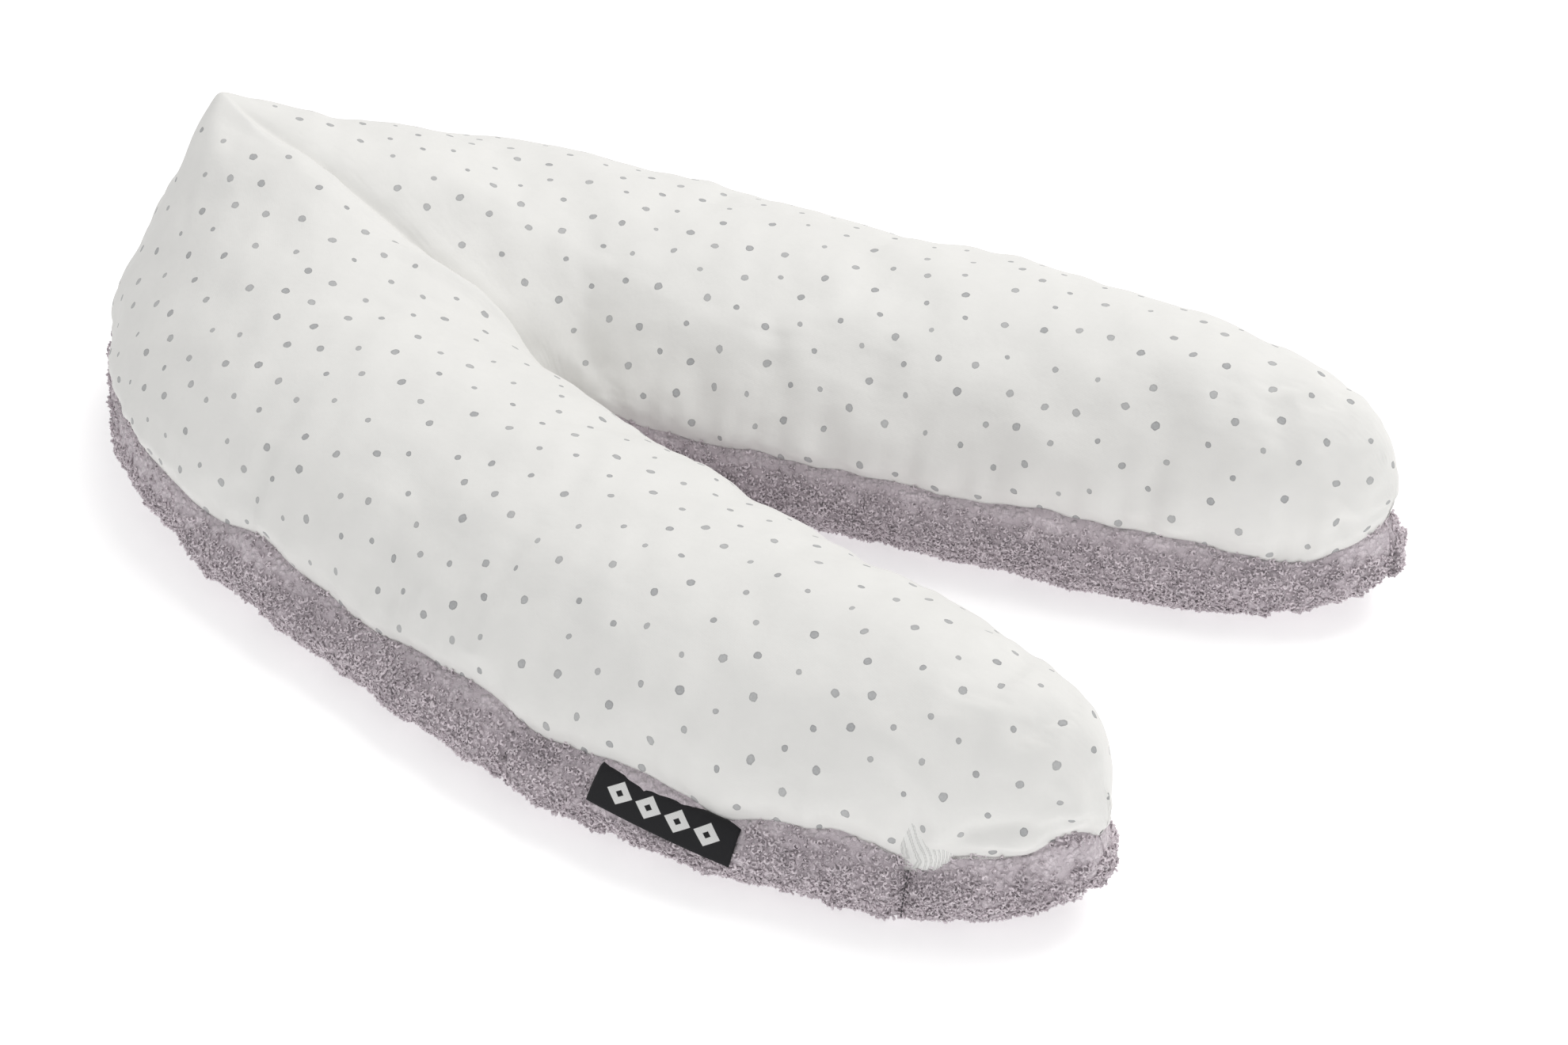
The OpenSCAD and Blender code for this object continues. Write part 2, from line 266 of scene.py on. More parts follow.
@dataclass
class PillowForm:
    """The pillow's surface as a rule: two arms that meet at the fold, swept from nose to tip.

    An arm's station w runs from 0 at the fold to 1 at the tip; t runs across it, from -1 at its
    inner side to 1 at its outer side. All lengths are in metres, with the V's mouth towards +X.
    """

    length: float = 0.847
    peak_height: float = 0.210
    fold_height: float = 0.190
    mid_height: float = 0.147
    tip_height: float = 0.170
    seam_height: float = 0.062
    crotch_x: float = -0.092
    peak_x: float = -0.355
    straight_from: tuple[float, float] = (-0.212, 0.215)
    straight_length: float = 0.268
    straight_angle: float = 10.4
    inner_angle: float = 12.0
    tip_y: float = 0.174
    tip_length: float = 0.221
    nose_round: float = 0.061
    nose_handle: float = 0.135
    tip_handle: float = 0.150
    tip_round: float = 0.064
    crotch_handle: float = 0.228
    tip_inner_round: float = 0.081
    nose_end: float = 0.32
    tip_start: float = 0.59
    nose_rim: float = 0.036
    tip_rim: float = 0.026
    rim_height: float = 0.022
    rim_far: float = 0.115
    rim_near: float = 0.050
    plumpness: dict[Arm, tuple[tuple[float, float, float], ...]] = field(
        default_factory=lambda: {
            Arm.REAR_SIDE: ((0.009, 0.155, 0.065), (0.012, 0.820, 0.140)),
            Arm.FRONT_SIDE: ((0.003, 0.800, 0.120),),
        }
    )
    outer_length: float = field(init=False, default=1.0)

    def __post_init__(self) -> None:
        """Measures the outer side once."""
        path = self.outer(np.linspace(0, 1, 400), 0.0)
        self.outer_length = float(np.linalg.norm(np.diff(path, axis=0), axis=1).sum())

    def along(self) -> Points:
        """Direction of the straight outer side in plan."""
        a = math.radians(self.straight_angle)
        return np.array([math.cos(a), math.sin(a)])

    def outer(self, w: Points, depth: float) -> Points:
        """Outer side of the rear arm in plan at stations w, moved inwards by depth."""
        side = self.along()
        outwards = np.array([-side[1], side[0]])
        nose = np.array([-self.length / 2 + depth, 0.0])
        tip = np.array([self.length / 2 - depth, self.tip_y])
        first = np.array(self.straight_from) - outwards * depth
        last = first + side * self.straight_length
        up = np.array([0.0, 1.0])
        curve = bezier(
            nose, nose + up * self.nose_round, first - side * self.nose_handle, first,
            np.clip(w / self.nose_end, 0, 1),
        )
        share = np.clip((w - self.nose_end) / (self.tip_start - self.nose_end), 0, 1)[:, None]
        straight = first + (last - first) * share
        rounding = bezier(
            last, last + side * self.tip_handle, tip + up * self.tip_round, tip,
            np.clip((w - self.tip_start) / (1 - self.tip_start), 0, 1),
        )
        in_nose = (w < self.nose_end)[:, None]
        in_tip = (w >= self.tip_start)[:, None]
        return np.where(in_nose, curve, np.where(in_tip, rounding, straight))

    def inner(self, w: Points, depth: float) -> Points:
        """Inner side of the rear arm in plan at stations w, from crotch to tip."""
        a = math.radians(self.inner_angle)
        ahead = np.array([math.cos(a), math.sin(a)])
        left = np.array([-ahead[1], ahead[0]])
        crotch = np.array([self.crotch_x - 1.6 * depth, 0.0])
        tip = np.array([self.length / 2 - depth, self.tip_y])
        return bezier(
            crotch, crotch + ahead * self.crotch_handle + left * depth * 1.2,
            tip - np.array([0.0, self.tip_inner_round - depth]), tip,
            0.05 * w + 0.95 * w**2.6,
        )

    def height(self, w: Points) -> Points:
        """Height of the arm's ridge at stations w."""
        swell = (self.peak_height - self.fold_height) * np.exp(-((w * self.outer_length / 0.110) ** 2))
        return (
            self.fold_height * (1 - w) * (1 - 2 * w)
            + 4 * self.mid_height * w * (1 - w)
            + self.tip_height * w * (2 * w - 1)
            + swell
        )

    def closing(self, w: Points) -> Points:
        """How open the section still is: 1 along the arm, 0 where the tip has rounded off."""
        gone = (w * self.outer_length - (self.outer_length - self.tip_length)) / self.tip_length
        return np.sqrt(np.maximum(0, 1 - np.clip(gone, 0, 1) ** 2.4))

    def crease(self, x: Points, y: Points, z: Points, depth: float, arm: Arm) -> Points:
        """Presses the top down into the fold's crease, which falls from the peak to the crotch."""
        end = self.crotch_x - 1.6 * depth
        share = np.clip((x - self.peak_x) / (end - self.peak_x), 0, 1)
        floor = self.seam_height + (self.peak_height - 1.9 * depth - self.seam_height) * (1 - share) ** 1.1
        floor = floor + 0.072 * share * (1 - share) ** 0.4 - 0.9 * depth * (share > 0)
        off = np.maximum(0, y - 0.8 * depth)
        if arm is Arm.REAR_SIDE:
            radius = 0.012 + 0.050 * np.clip(1.4 * share, 0, 1)
            ramp = floor + np.maximum(0, z - floor) * (1 - (1 - np.clip(off / radius, 0, 1)) ** 1.5)
            return np.where(x <= self.peak_x, z, np.minimum(z, ramp))
        slope = 0.75 + 4.0 * smoothstep(0.55, 1.0, share)
        bank = floor + 0.004 * (1 - np.exp(-off / 0.003)) + slope * off
        soft = 0.0005 + 0.0035 * np.clip(3 * share, 0, 1)
        return np.where(x <= self.peak_x, z, -soft * np.logaddexp(-z / soft, -bank / soft))

    def ring(self, w: float, top: int, base: int, depth: float, arm: Arm = Arm.REAR_SIDE) -> Points:
        """One closed cross-section of the rear arm.

        Args:
            w: station along the arm.
            top: steps across the top, from the outer side to the inner side.
            base: steps across the base, back to the outer side.
            depth: how far below the cover's surface the layer lies.
            arm: the arm whose shape it has. The points are always the rear arm's.

        Returns:
            top + base points, the first on the outer seam and point number top on the inner seam.
        """
        share = np.array([w])
        outer, inner = self.outer(share, depth)[0], self.inner(share, depth)[0]
        height, closing = float(self.height(share)[0]), float(self.closing(share)[0])
        reach = w * self.outer_length
        if depth == 0:
            height += sum(rise * math.exp(-(((reach - at) / wide) ** 2)) for rise, at, wide in self.plumpness[arm])
        ridge = 0.57 * math.exp(-((reach / 0.154) ** 2))
        wall = 2.03 + (1.32 - 2.03) * math.exp(-((reach / 0.200) ** 2))
        t = np.cos(np.linspace(0, math.pi, top + 1))
        leaning = t > ridge
        from_ridge = np.where(leaning, (t - ridge) / (1 - ridge), (ridge - t) / (1 + ridge))
        power = np.where(leaning, wall, 2.03)
        dome = np.maximum(0, 1 - np.clip(from_ridge, 0, 1) ** power) ** (1 / power)
        lower = depth * (1 + 0.9 * math.exp(-((reach / 0.110) ** 2)))
        z = self.seam_height + (height - lower - self.seam_height) * closing * dome
        plan = inner + (outer - inner) * ((t + 1) / 2)[:, None]
        z = np.maximum(self.seam_height, self.crease(plan[:, 0], plan[:, 1], z, depth, arm))
        crown = np.column_stack([plan, z])
        t = -np.cos(np.linspace(0, math.pi, base + 1))[1:-1]
        flat = np.maximum(0, 1 - (np.maximum(0, np.abs(t) - 0.5) / 0.5) ** 3.2) ** (1 / 3.2)
        z = self.seam_height - (self.seam_height - depth) * flat * closing**0.6
        z = z + self.rim_lift(w, t, z, float(np.linalg.norm(outer - inner)))
        plan = inner + (outer - inner) * ((t + 1) / 2)[:, None]
        return np.vstack([crown, np.column_stack([plan, z])])

    def rim_lift(self, w: float, t: Points, z: Points, width: float) -> Points:
        """How far the base curves up off the floor, at the nose's outer side and round the tip."""
        away = np.hypot(width * (1 - np.abs(t)) / 2, self.seam_height - z)
        nose = self.nose_rim * float(smoothstep(0.42, 0.14, np.array([w]))[0]) * (t > 0)
        tip = self.tip_rim * float(smoothstep(0.82, 1.0, np.array([w]))[0])
        low = np.exp(-((z / self.rim_height) ** 2))
        return (nose + tip) * low * smoothstep(self.rim_far, self.rim_near, away)

    def stations(self, count: int) -> Points:
        """Stations from fold to tip, closer together at both ends."""
        even = np.linspace(0, 1, count + 1)
        return 0.4 * even + 0.6 * (1 - np.cos(math.pi * even)) / 2

    def closed_mesh(self, name: str, layer: Layer, count: int, top: int, base: int) -> bpy.types.Object:
        """Both arms of one layer as a single closed mesh.

        Args:
            name: the object's name.
            layer: which of the nested shapes to build.
            count: stations along an arm.
            top: steps across the top.
            base: steps across the base.

        Returns:
            The new object.
        """
        depth = layer.value
        rings = {arm: [self.ring(w, top, base, depth, arm) for w in self.stations(count)[:-1]] for arm in Arm}
        around = top + base
        tip = np.array([self.length / 2 - depth, self.tip_y, self.seam_height])
        vertices = [rings[Arm.REAR_SIDE][0]]
        faces: list[tuple[int, ...]] = []
        for arm in Arm:
            turn = np.array([1.0, float(arm.value), 1.0])
            start = sum(len(v) for v in vertices)
            vertices.extend(ring * turn for ring in rings[arm][1:])
            vertices.append((tip * turn)[None, :])
            rows = [0] + [start + i * around for i in range(count - 1)]
            point = start + (count - 1) * around
            for near, far in zip(rows, rows[1:]):
                for j in range(around):
                    k = (j + 1) % around
                    quad = (near + j, near + k, far + k, far + j)
                    faces.append(quad if arm is Arm.FRONT_SIDE else quad[::-1])
            for j in range(around):
                cap = (rows[-1] + j, rows[-1] + (j + 1) % around, point)
                faces.append(cap if arm is Arm.FRONT_SIDE else cap[::-1])
        return mesh_object(name, np.vstack(vertices), faces)

    def outer_frame(self, w: float, arm: Arm) -> Matrix:
        """A frame on the outer seam: X along the seam, Y out of the cover, Z up.

        Args:
            w: station along the arm.
            arm: which arm.

        Returns:
            The 4 by 4 placing matrix. On the front arm X still points to the tip.
        """
        near, far = self.outer(np.array([w - 0.004, w + 0.004]), 0.0)
        middle = self.outer(np.array([w]), 0.0)[0]
        side = (far - near) / np.linalg.norm(far - near)
        x = Vector((side[0], arm.value * side[1], 0))
        y = Vector((-side[1], arm.value * side[0], 0))
        placing = Matrix.Identity(4)
        placing.col[0][:3], placing.col[1][:3] = x, y
        placing.translation = (middle[0], arm.value * middle[1], self.seam_height)
        return placing


@dataclass
class SeamLine:
    """The sewn seam round both arms, with the way out of the cover at each of its points."""

    form: PillowForm
    steps: int = 2500
    points: Points = field(init=False)
    outwards: Points = field(init=False)
    outer_side: Points = field(init=False)
    station: Points = field(init=False)
    arm: Points = field(init=False)

    def __post_init__(self) -> None:
        """Samples the seam on both arms."""
        w = np.linspace(0, 1, self.steps)
        points, outwards, outer_side, arms = [], [], [], []
        for path, way, is_outer in (
            (self.form.outer(w, 0.0), 1, True), (self.form.inner(w, 0.0), -1, False),
        ):
            run = np.gradient(path, axis=0)
            run /= np.maximum(np.linalg.norm(run, axis=1, keepdims=True), 1e-12)
            out = way * np.column_stack([-run[:, 1], run[:, 0]])
            for arm in Arm:
                turn = np.array([1.0, float(arm.value)])
                points.append(path * turn)
                outwards.append(out * turn)
                outer_side.append(np.full(self.steps, is_outer))
                arms.append(np.full(self.steps, arm.value))
        self.points = np.vstack(points)
        self.outwards = np.vstack(outwards)
        self.outer_side = np.concatenate(outer_side)
        self.arm = np.concatenate(arms)
        self.station = np.tile(w, len(arms))
        self.tree = tree_of([(x, y, 0) for x, y in self.points])

    def nearest(self, places: Points) -> tuple[Points, Points]:
        """Index of the nearest seam point in plan, and the distance to it in space."""
        found = np.array([self.tree.find((x, y, 0))[1] for x, y in places[:, :2]])
        off = places[:, :2] - self.points[found]
        away = np.hypot(np.linalg.norm(off, axis=1), places[:, 2] - self.form.seam_height)
        return found, away


@dataclass(frozen=True)
class Crease:
    """A crease pressed into the cloth: a valley with a soft ridge along one side.

    The path's points are millimetres on the front or rear arm, from the deep end to the faint end.
    """

    path: tuple[tuple[float, float, float], ...]
    depth: float
    width: float
    ridge: float = 0.6
    fade: float = 0.8

    def press(self, places: Points, out: Points) -> Points:
        """How far each place moves along its normal.

        Args:
            places: N by 3 places on the cloth.
            out: N by 3 normals.

        Returns:
            N moves in metres.
        """
        corners = np.array(self.path) * 0.001
        share = np.linspace(0, 1, len(corners))
        fine = np.linspace(0, 1, 40)
        line = np.column_stack([np.interp(fine, share, corners[:, k]) for k in range(3)])
        for _ in range(6):
            line[1:-1] = (line[:-2] + 2 * line[1:-1] + line[2:]) / 4
        run = np.gradient(line, axis=0)
        run /= np.linalg.norm(run, axis=1, keepdims=True)
        move = np.zeros(len(places))
        reach = self.width * 6
        low, high = line.min(axis=0) - reach, line.max(axis=0) + reach
        near = np.flatnonzero(((places > low) & (places < high)).all(axis=1))
        if len(near) == 0:
            return move
        gaps = places[near][:, None, :] - line[None]
        gaps -= np.einsum("ijk,ik->ij", gaps, out[near])[:, :, None] * out[near][:, None, :]
        distance = np.linalg.norm(gaps, axis=2)
        least = distance.min(axis=1, keepdims=True)
        share = np.exp(-(distance**2 - least**2) / (0.7 * self.width) ** 2)
        share /= share.sum(axis=1, keepdims=True)
        across = np.cross(share @ run, out[near])
        side = np.einsum("ij,ij->i", np.einsum("ij,ijk->ik", share, gaps), across)
        strength = (1 - share @ fine) ** self.fade
        off = least[:, 0]
        valley = -np.exp(-((off / self.width) ** 2))
        bank = self.ridge * np.exp(-(((off - 1.9 * self.width) / (1.2 * self.width)) ** 2))
        bank *= 0.5 + 0.5 * np.tanh(1.5 * side / self.width)
        move[near] = self.depth * strength * (valley + bank)
        return move


# --------------------------------------------------------------------------------------------------
# Node trees


@dataclass
class NodeBuilder:
    """Adds nodes to a shader or geometry tree and links them as it goes."""

    tree: NodeTree

    def add(self, kind: str, inputs: Optional[dict] = None, **settings: object) -> Node:
        """Adds one node.

        Args:
            kind: the node's type name.
            inputs: values or sockets by input name or index.
            settings: the node's own properties.

        Returns:
            The node.
        """
        node = self.tree.nodes.new(kind)
        for key, value in settings.items():
            setattr(node, key, value)
        for key, value in (inputs or {}).items():
            if isinstance(value, bpy.types.NodeSocket):
                self.tree.links.new(value, node.inputs[key])
            else:
                node.inputs[key].default_value = value
        return node

    def math(self, operation: str, a: object, b: object = 0.0, clamp: bool = False) -> Socket:
        """A Math node on one or two values."""
        inputs = {0: a} if operation in ("SQRT", "SINE", "ABSOLUTE", "FRACT") else {0: a, 1: b}
        return self.add("ShaderNodeMath", inputs, operation=operation, use_clamp=clamp).outputs[0]

    def vector(self, operation: str, a: object, b: object = (0, 0, 0)) -> Socket:
        """A Vector Math node on two vectors."""
        node = self.add("ShaderNodeVectorMath", {0: a, 1: b}, operation=operation)
        return node.outputs["Value" if operation in ("LENGTH", "DISTANCE", "DOT_PRODUCT") else "Vector"]

    def scaled(self, vector: object, factor: object) -> Socket:
        """A vector or a colour times a number."""
        return self.add("ShaderNodeVectorMath", {0: vector, "Scale": factor}, operation="SCALE").outputs[0]

    def split(self, vector: Socket) -> Sequence[Socket]:
        """The three numbers of a vector."""
        return self.add("ShaderNodeSeparateXYZ", {0: vector}).outputs

    def attribute(self, name: str, output: str) -> Socket:
        """A named attribute of the mesh."""
        return self.add("ShaderNodeAttribute", attribute_name=name).outputs[output]

    def feed(self, node: Node, inputs: dict[str, Socket]) -> None:
        """Links sockets to a node's inputs."""
        for key, value in inputs.items():
            self.tree.links.new(value, node.inputs[key])

    def step(self, value: object, low: float, high: float, to_low: float = 0.0, to_high: float = 1.0) -> Socket:
        """Maps a value from low..high to to_low..to_high with flat ends."""
        node = self.add(
            "ShaderNodeMapRange", {0: value, 1: low, 2: high, 3: to_low, 4: to_high},
            interpolation_type="SMOOTHSTEP",
        )
        return node.outputs[0]

    def blend(self, share: object, a: object, b: object) -> Socket:
        """Mixes two colours."""
        node = self.add("ShaderNodeMix", {0: share, 6: a, 7: b}, data_type="RGBA")
        return node.outputs[2]

    def noise(self, where: Socket, scale: float, detail: float = 2.0, rough: float = 0.5) -> Socket:
        """Value of a noise texture."""
        inputs = {"Vector": where, "Scale": scale, "Detail": detail, "Roughness": rough}
        return self.add("ShaderNodeTexNoise", inputs).outputs[0]

    def bump(self, height: Socket, distance: float, strength: float = 1.0, normal: Optional[Socket] = None) -> Socket:
        """Turns a height into a normal."""
        inputs = {"Height": height, "Distance": distance, "Strength": strength}
        if normal is not None:
            inputs["Normal"] = normal
        return self.add("ShaderNodeBump", inputs).outputs[0]


class Effect:
    """A shader node group that several finishes share."""

    def __init__(self, name: str, inputs: dict[str, tuple[str, object]], outputs: dict[str, str]) -> None:
        """Makes the group's interface.

        Args:
            name: the group's name.
            inputs: socket type and value by input name.
            outputs: socket type by output name.
        """
        self.tree = bpy.data.node_groups.new(name, "ShaderNodeTree")
        for key, (kind, value) in inputs.items():
            socket = self.tree.interface.new_socket(key, in_out="INPUT", socket_type=kind)
            if value is not None:
                socket.default_value = value
        for key, kind in outputs.items():
            self.tree.interface.new_socket(key, in_out="OUTPUT", socket_type=kind)
        self.nodes = NodeBuilder(self.tree)
        self.source = self.nodes.add("NodeGroupInput").outputs
        self.result = self.nodes.add("NodeGroupOutput").inputs

    def give(self, **values: Socket) -> None:
        """Links sockets to the group's outputs, by name with _ for a space."""
        for key, value in values.items():
            self.tree.links.new(value, self.result[key.replace("_", " ")])

    def use(self, nodes: NodeBuilder, inputs: dict[str, object]) -> Node:
        """Places the group in a material."""
        return nodes.add("ShaderNodeGroup", inputs, node_tree=self.tree)


VECTOR, NUMBER, WHOLE, GEOMETRY = "NodeSocketVector", "NodeSocketFloat", "NodeSocketInt", "NodeSocketGeometry"


class GeometryTree:
    """A geometry tree with named sizes, which repeats one small shape and gives it one material."""

    def __init__(self, name: str, sizes: dict[str, float]) -> None:
        """Makes the tree's interface.

        Args:
            name: the tree's name.
            sizes: value by input name. A whole number makes a whole-number input.
        """
        self.tree = bpy.data.node_groups.new(name, "GeometryNodeTree")
        self.keys: dict[str, str] = {}
        self.tree.interface.new_socket("Geometry", in_out="INPUT", socket_type=GEOMETRY)
        for key, value in sizes.items():
            kind = WHOLE if isinstance(value, int) else NUMBER
            socket = self.tree.interface.new_socket(key, in_out="INPUT", socket_type=kind)
            socket.default_value = value
            self.keys[key] = socket.identifier
        self.tree.interface.new_socket("Geometry", in_out="OUTPUT", socket_type=GEOMETRY)
        self.nodes = NodeBuilder(self.tree)
        self.source = self.nodes.add("NodeGroupInput").outputs

    def repeat(self, placing: dict[str, Socket], material: bpy.types.Material) -> None:
        """Ends the tree: copies of a shape on points, made real, with a material.

        Args:
            placing: the points, the shape, and its turn or size.
            material: what the copies are made of.
        """
        n = self.nodes
        copies = n.add("GeometryNodeInstanceOnPoints", placing).outputs[0]
        real = n.add("GeometryNodeRealizeInstances", {"Geometry": copies}).outputs[0]
        done = n.add("GeometryNodeSetMaterial", {"Geometry": real, "Material": material}).outputs[0]
        n.add("NodeGroupOutput", {"Geometry": done})

    def run(self, piece: bpy.types.Object, sizes: Optional[dict[str, float]] = None) -> None:
        """Runs the tree on a piece, with sizes other than the tree's own, and keeps the result."""
        runner = piece.modifiers.new("repeat", "NODES")
        runner.node_group = self.tree
        for key, value in (sizes or {}).items():
            runner[self.keys[key]] = value
        settle(piece)


class Effects:
    """The effects that the finishes share, each built once."""

    def __init__(self) -> None:
        """Builds every group."""
        self.weave = self._weave()
        self.mottling = self._mottling()
        self.curl = self._curl()

    def _weave(self) -> Effect:
        """Plain weave: threads over and under one another, in units of the vector given. Gaps marks the gaps between
        threads, where the finishes paint shade.
        """
        effect = Effect(
            "plain weave", {"Vector": (VECTOR, None), "Threads": (NUMBER, 1800.0), "Slub": (NUMBER, 0.3)},
            {"Height": NUMBER, "Gaps": NUMBER},
        )
        n, source = effect.nodes, effect.source
        slub = n.noise(n.vector("MULTIPLY", source["Vector"], (90, 900, 90)), 1.0, 1.0)
        parts = n.split(n.scaled(source["Vector"], source["Threads"]))
        warp = n.math("SINE", n.math("MULTIPLY", parts[0], math.pi))
        weft = n.math("SINE", n.math("MULTIPLY", parts[1], math.pi))
        over = n.math("MULTIPLY", warp, weft)
        ridge = n.math("ABSOLUTE", n.math("ADD", n.math("MULTIPLY", over, 0.5), n.math("MULTIPLY", warp, 0.3)))
        height = n.math("ADD", ridge, n.math("MULTIPLY", slub, source["Slub"]))
        # The gap output is 1 in the gaps between threads, where the finishes darken the colour as painted shade.
        effect.give(Height=height, Gaps=n.step(ridge, 0.22, 0.02))
        return effect

    def _mottling(self) -> Effect:
        """Slow tonal change over the cloth, with a finer one on top."""
        effect = Effect(
            "tonal mottling", {"Vector": (VECTOR, None), "Size": (NUMBER, 30.0), "Strength": (NUMBER, 0.08)},
            {"Factor": NUMBER},
        )
        n, source = effect.nodes, effect.source
        scaled = n.scaled(source["Vector"], source["Size"])
        coarse = n.noise(scaled, 1.0, 2.0)
        fine = n.noise(scaled, 6.0, 3.0)
        both = n.math("SUBTRACT", n.math("ADD", n.math("MULTIPLY", coarse, 1.3), n.math("MULTIPLY", fine, 0.7)), 1.0)
        effect.give(Factor=n.math("ADD", n.math("MULTIPLY", both, source["Strength"]), 1.0))
        return effect

    def _curl(self) -> Effect:
        """Curly pile: rounded locks with hollows between them, twisted by noise. Hollow marks the hollows, where the
        finishes paint shade.
        """
        effect = Effect(
            "curly pile", {"Vector": (VECTOR, None), "Locks": (NUMBER, 260.0), "Twist": (NUMBER, 0.0022)},
            {"Height": NUMBER, "Hollow": NUMBER},
        )
        n, source = effect.nodes, effect.source
        swirl = n.add("ShaderNodeTexNoise", {"Vector": source["Vector"], "Scale": 330.0, "Detail": 2.0}).outputs[1]
        swirl = n.vector("SUBTRACT", swirl, (0.5, 0.5, 0.5))
        place = n.vector("ADD", source["Vector"], n.scaled(swirl, source["Twist"]))
        lock = n.add(
            "ShaderNodeTexVoronoi", {"Vector": place, "Scale": source["Locks"], "Smoothness": 0.35},
            feature="SMOOTH_F1",
        ).outputs[0]
        strand = n.add("ShaderNodeTexNoise", {"Vector": place, "Scale": 1500.0, "Detail": 1.0}).outputs[0]
        rounded = n.step(lock, 0.75, 0.05)
        height = n.math("ADD", rounded, n.math("MULTIPLY", strand, 0.22))
        # The hollow output is 1 in the hollows between locks, where the finishes darken the colour as painted shade.
        effect.give(Height=height, Hollow=n.step(rounded, 0.45, 0.05))
        return effect


# --------------------------------------------------------------------------------------------------
# Finishes


@dataclass(frozen=True)
class Finish:
    """What every finish has: a name, and how glossy and how fuzzy it is."""

    name: str
    roughness: float = 0.9
    sheen: float = 0.0
    gloss: float = 0.3

    def start(self) -> tuple[bpy.types.Material, NodeBuilder, Node, Socket, Socket]:
        """A new material with its shader.

        Returns:
            The material, its node builder, its shader, object coordinates and UV coordinates.
        """
        material = bpy.data.materials.new(self.name)
        material.use_nodes = True
        material.node_tree.nodes.clear()
        n = NodeBuilder(material.node_tree)
        shader = n.add("ShaderNodeBsdfPrincipled")
        shader.inputs["Roughness"].default_value = self.roughness
        shader.inputs["Sheen Weight"].default_value = self.sheen
        shader.inputs["Sheen Roughness"].default_value = 0.5
        shader.inputs["Specular IOR Level"].default_value = self.gloss
        n.add("ShaderNodeOutputMaterial", {"Surface": shader.outputs[0]})
        where = n.add("ShaderNodeTexCoord").outputs
        return material, n, shader, where["Object"], where["UV"]


@dataclass(frozen=True)
class DottedCotton(Finish):
    """Off-white cotton jersey printed with loose grey dots."""

    ground: tuple[float, float, float] = (0.80, 0.795, 0.775)
    dot: tuple[float, float, float] = (0.40, 0.405, 0.41)
    rim: tuple[float, float, float] = (0.29, 0.29, 0.295)

    def make(self, effects: Effects) -> bpy.types.Material:
        """Builds the material. The print reads the piece's "dot" attribute."""
        material, n, shader, place, cloth = self.start()
        tone = effects.mottling.use(n, {"Vector": place, "Size": 22.0, "Strength": 0.05}).outputs[0]
        weave = effects.weave.use(n, {"Vector": cloth, "Threads": 2400.0, "Slub": 0.3}).outputs
        # Painted shade: the cotton's colour is darkened a little in the gaps between threads.
        shade = n.step(weave["Gaps"], 0, 1, 1.0, 0.98)
        woven = n.scaled(n.scaled(self.ground, tone), shade)
        parts = n.split(n.attribute("dot", "Vector"))
        squares = [n.math("MULTIPLY", part, part) for part in parts[:2]]
        reach = n.math("SQRT", n.math("ADD", *squares))
        wobble = n.math("MULTIPLY", n.math("SUBTRACT", n.noise(place, 420.0, 2.0), 0.5), 0.55)
        reach = n.math("ADD", reach, wobble)
        inside = n.step(reach, 1.05, 0.92)
        edge = n.math("MULTIPLY", n.step(reach, 0.62, 0.95), 0.75)
        ink = n.noise(place, 700.0, 2.0)
        fill = n.blend(n.step(ink, 0.35, 0.7, 0.0, 0.5), (*self.dot, 1), (*(v * 1.25 for v in self.dot), 1))
        printed = n.blend(edge, fill, (*self.rim, 1))
        cover = n.math("MULTIPLY", inside, n.step(parts[2], 0, 1, 0.80, 1.0))
        fine = n.bump(weave["Height"], 0.00006, 0.5)
        slack = n.bump(n.noise(place, 70.0, 3.0, 0.55), 0.0011, 0.5, fine)
        n.feed(shader, {"Base Color": n.blend(cover, woven, printed), "Normal": slack})
        return material


@dataclass(frozen=True)
class TeddyFleece(Finish):
    """Mauve-grey teddy fleece with lighter and darker patches, and painted shade in the hollows between locks and at
    the locks' roots.
    """

    light: tuple[float, float, float] = (0.80, 0.725, 0.765)
    middle: tuple[float, float, float] = (0.68, 0.61, 0.65)
    # The next colour is painted shade, for the hollows between locks and the locks' roots.
    painted_shade: tuple[float, float, float] = (0.56, 0.50, 0.535)
    is_lock: bool = False

    def make(self, effects: Effects) -> bpy.types.Material:
        """Builds the material. A lock reads its "tip" attribute, for painted shade at its root, and its "shade"
        attribute, a random tone for each lock.
        """
        material, n, shader, place, _ = self.start()
        patch = n.step(n.noise(place, 34.0, 3.0, 0.6), 0.32, 0.68)
        body = n.blend(patch, (*self.middle, 1), (*self.light, 1))
        curl = effects.curl.use(n, {"Vector": place, "Locks": 270.0, "Twist": 0.0024}).outputs
        if self.is_lock:
            body = n.scaled(body, n.step(n.attribute("shade", "Fac"), 0, 1, 0.88, 1.10))
            # Painted shade: each lock darkens towards its root, where the locks shade one another.
            colour = n.blend(n.step(n.attribute("tip", "Fac"), 0.0, 0.55), (*self.painted_shade, 1), body)
            relief = n.bump(n.noise(place, 2600.0, 2.0), 0.0003, 0.6)
        else:
            # Painted shade: the hollows between locks take the shade colour.
            colour = n.blend(n.math("MULTIPLY", curl["Hollow"], 0.85), body, (*self.painted_shade, 1))
            relief = n.bump(curl["Height"], 0.0022, 0.9)
        n.feed(shader, {"Base Color": colour, "Normal": relief})
        return material


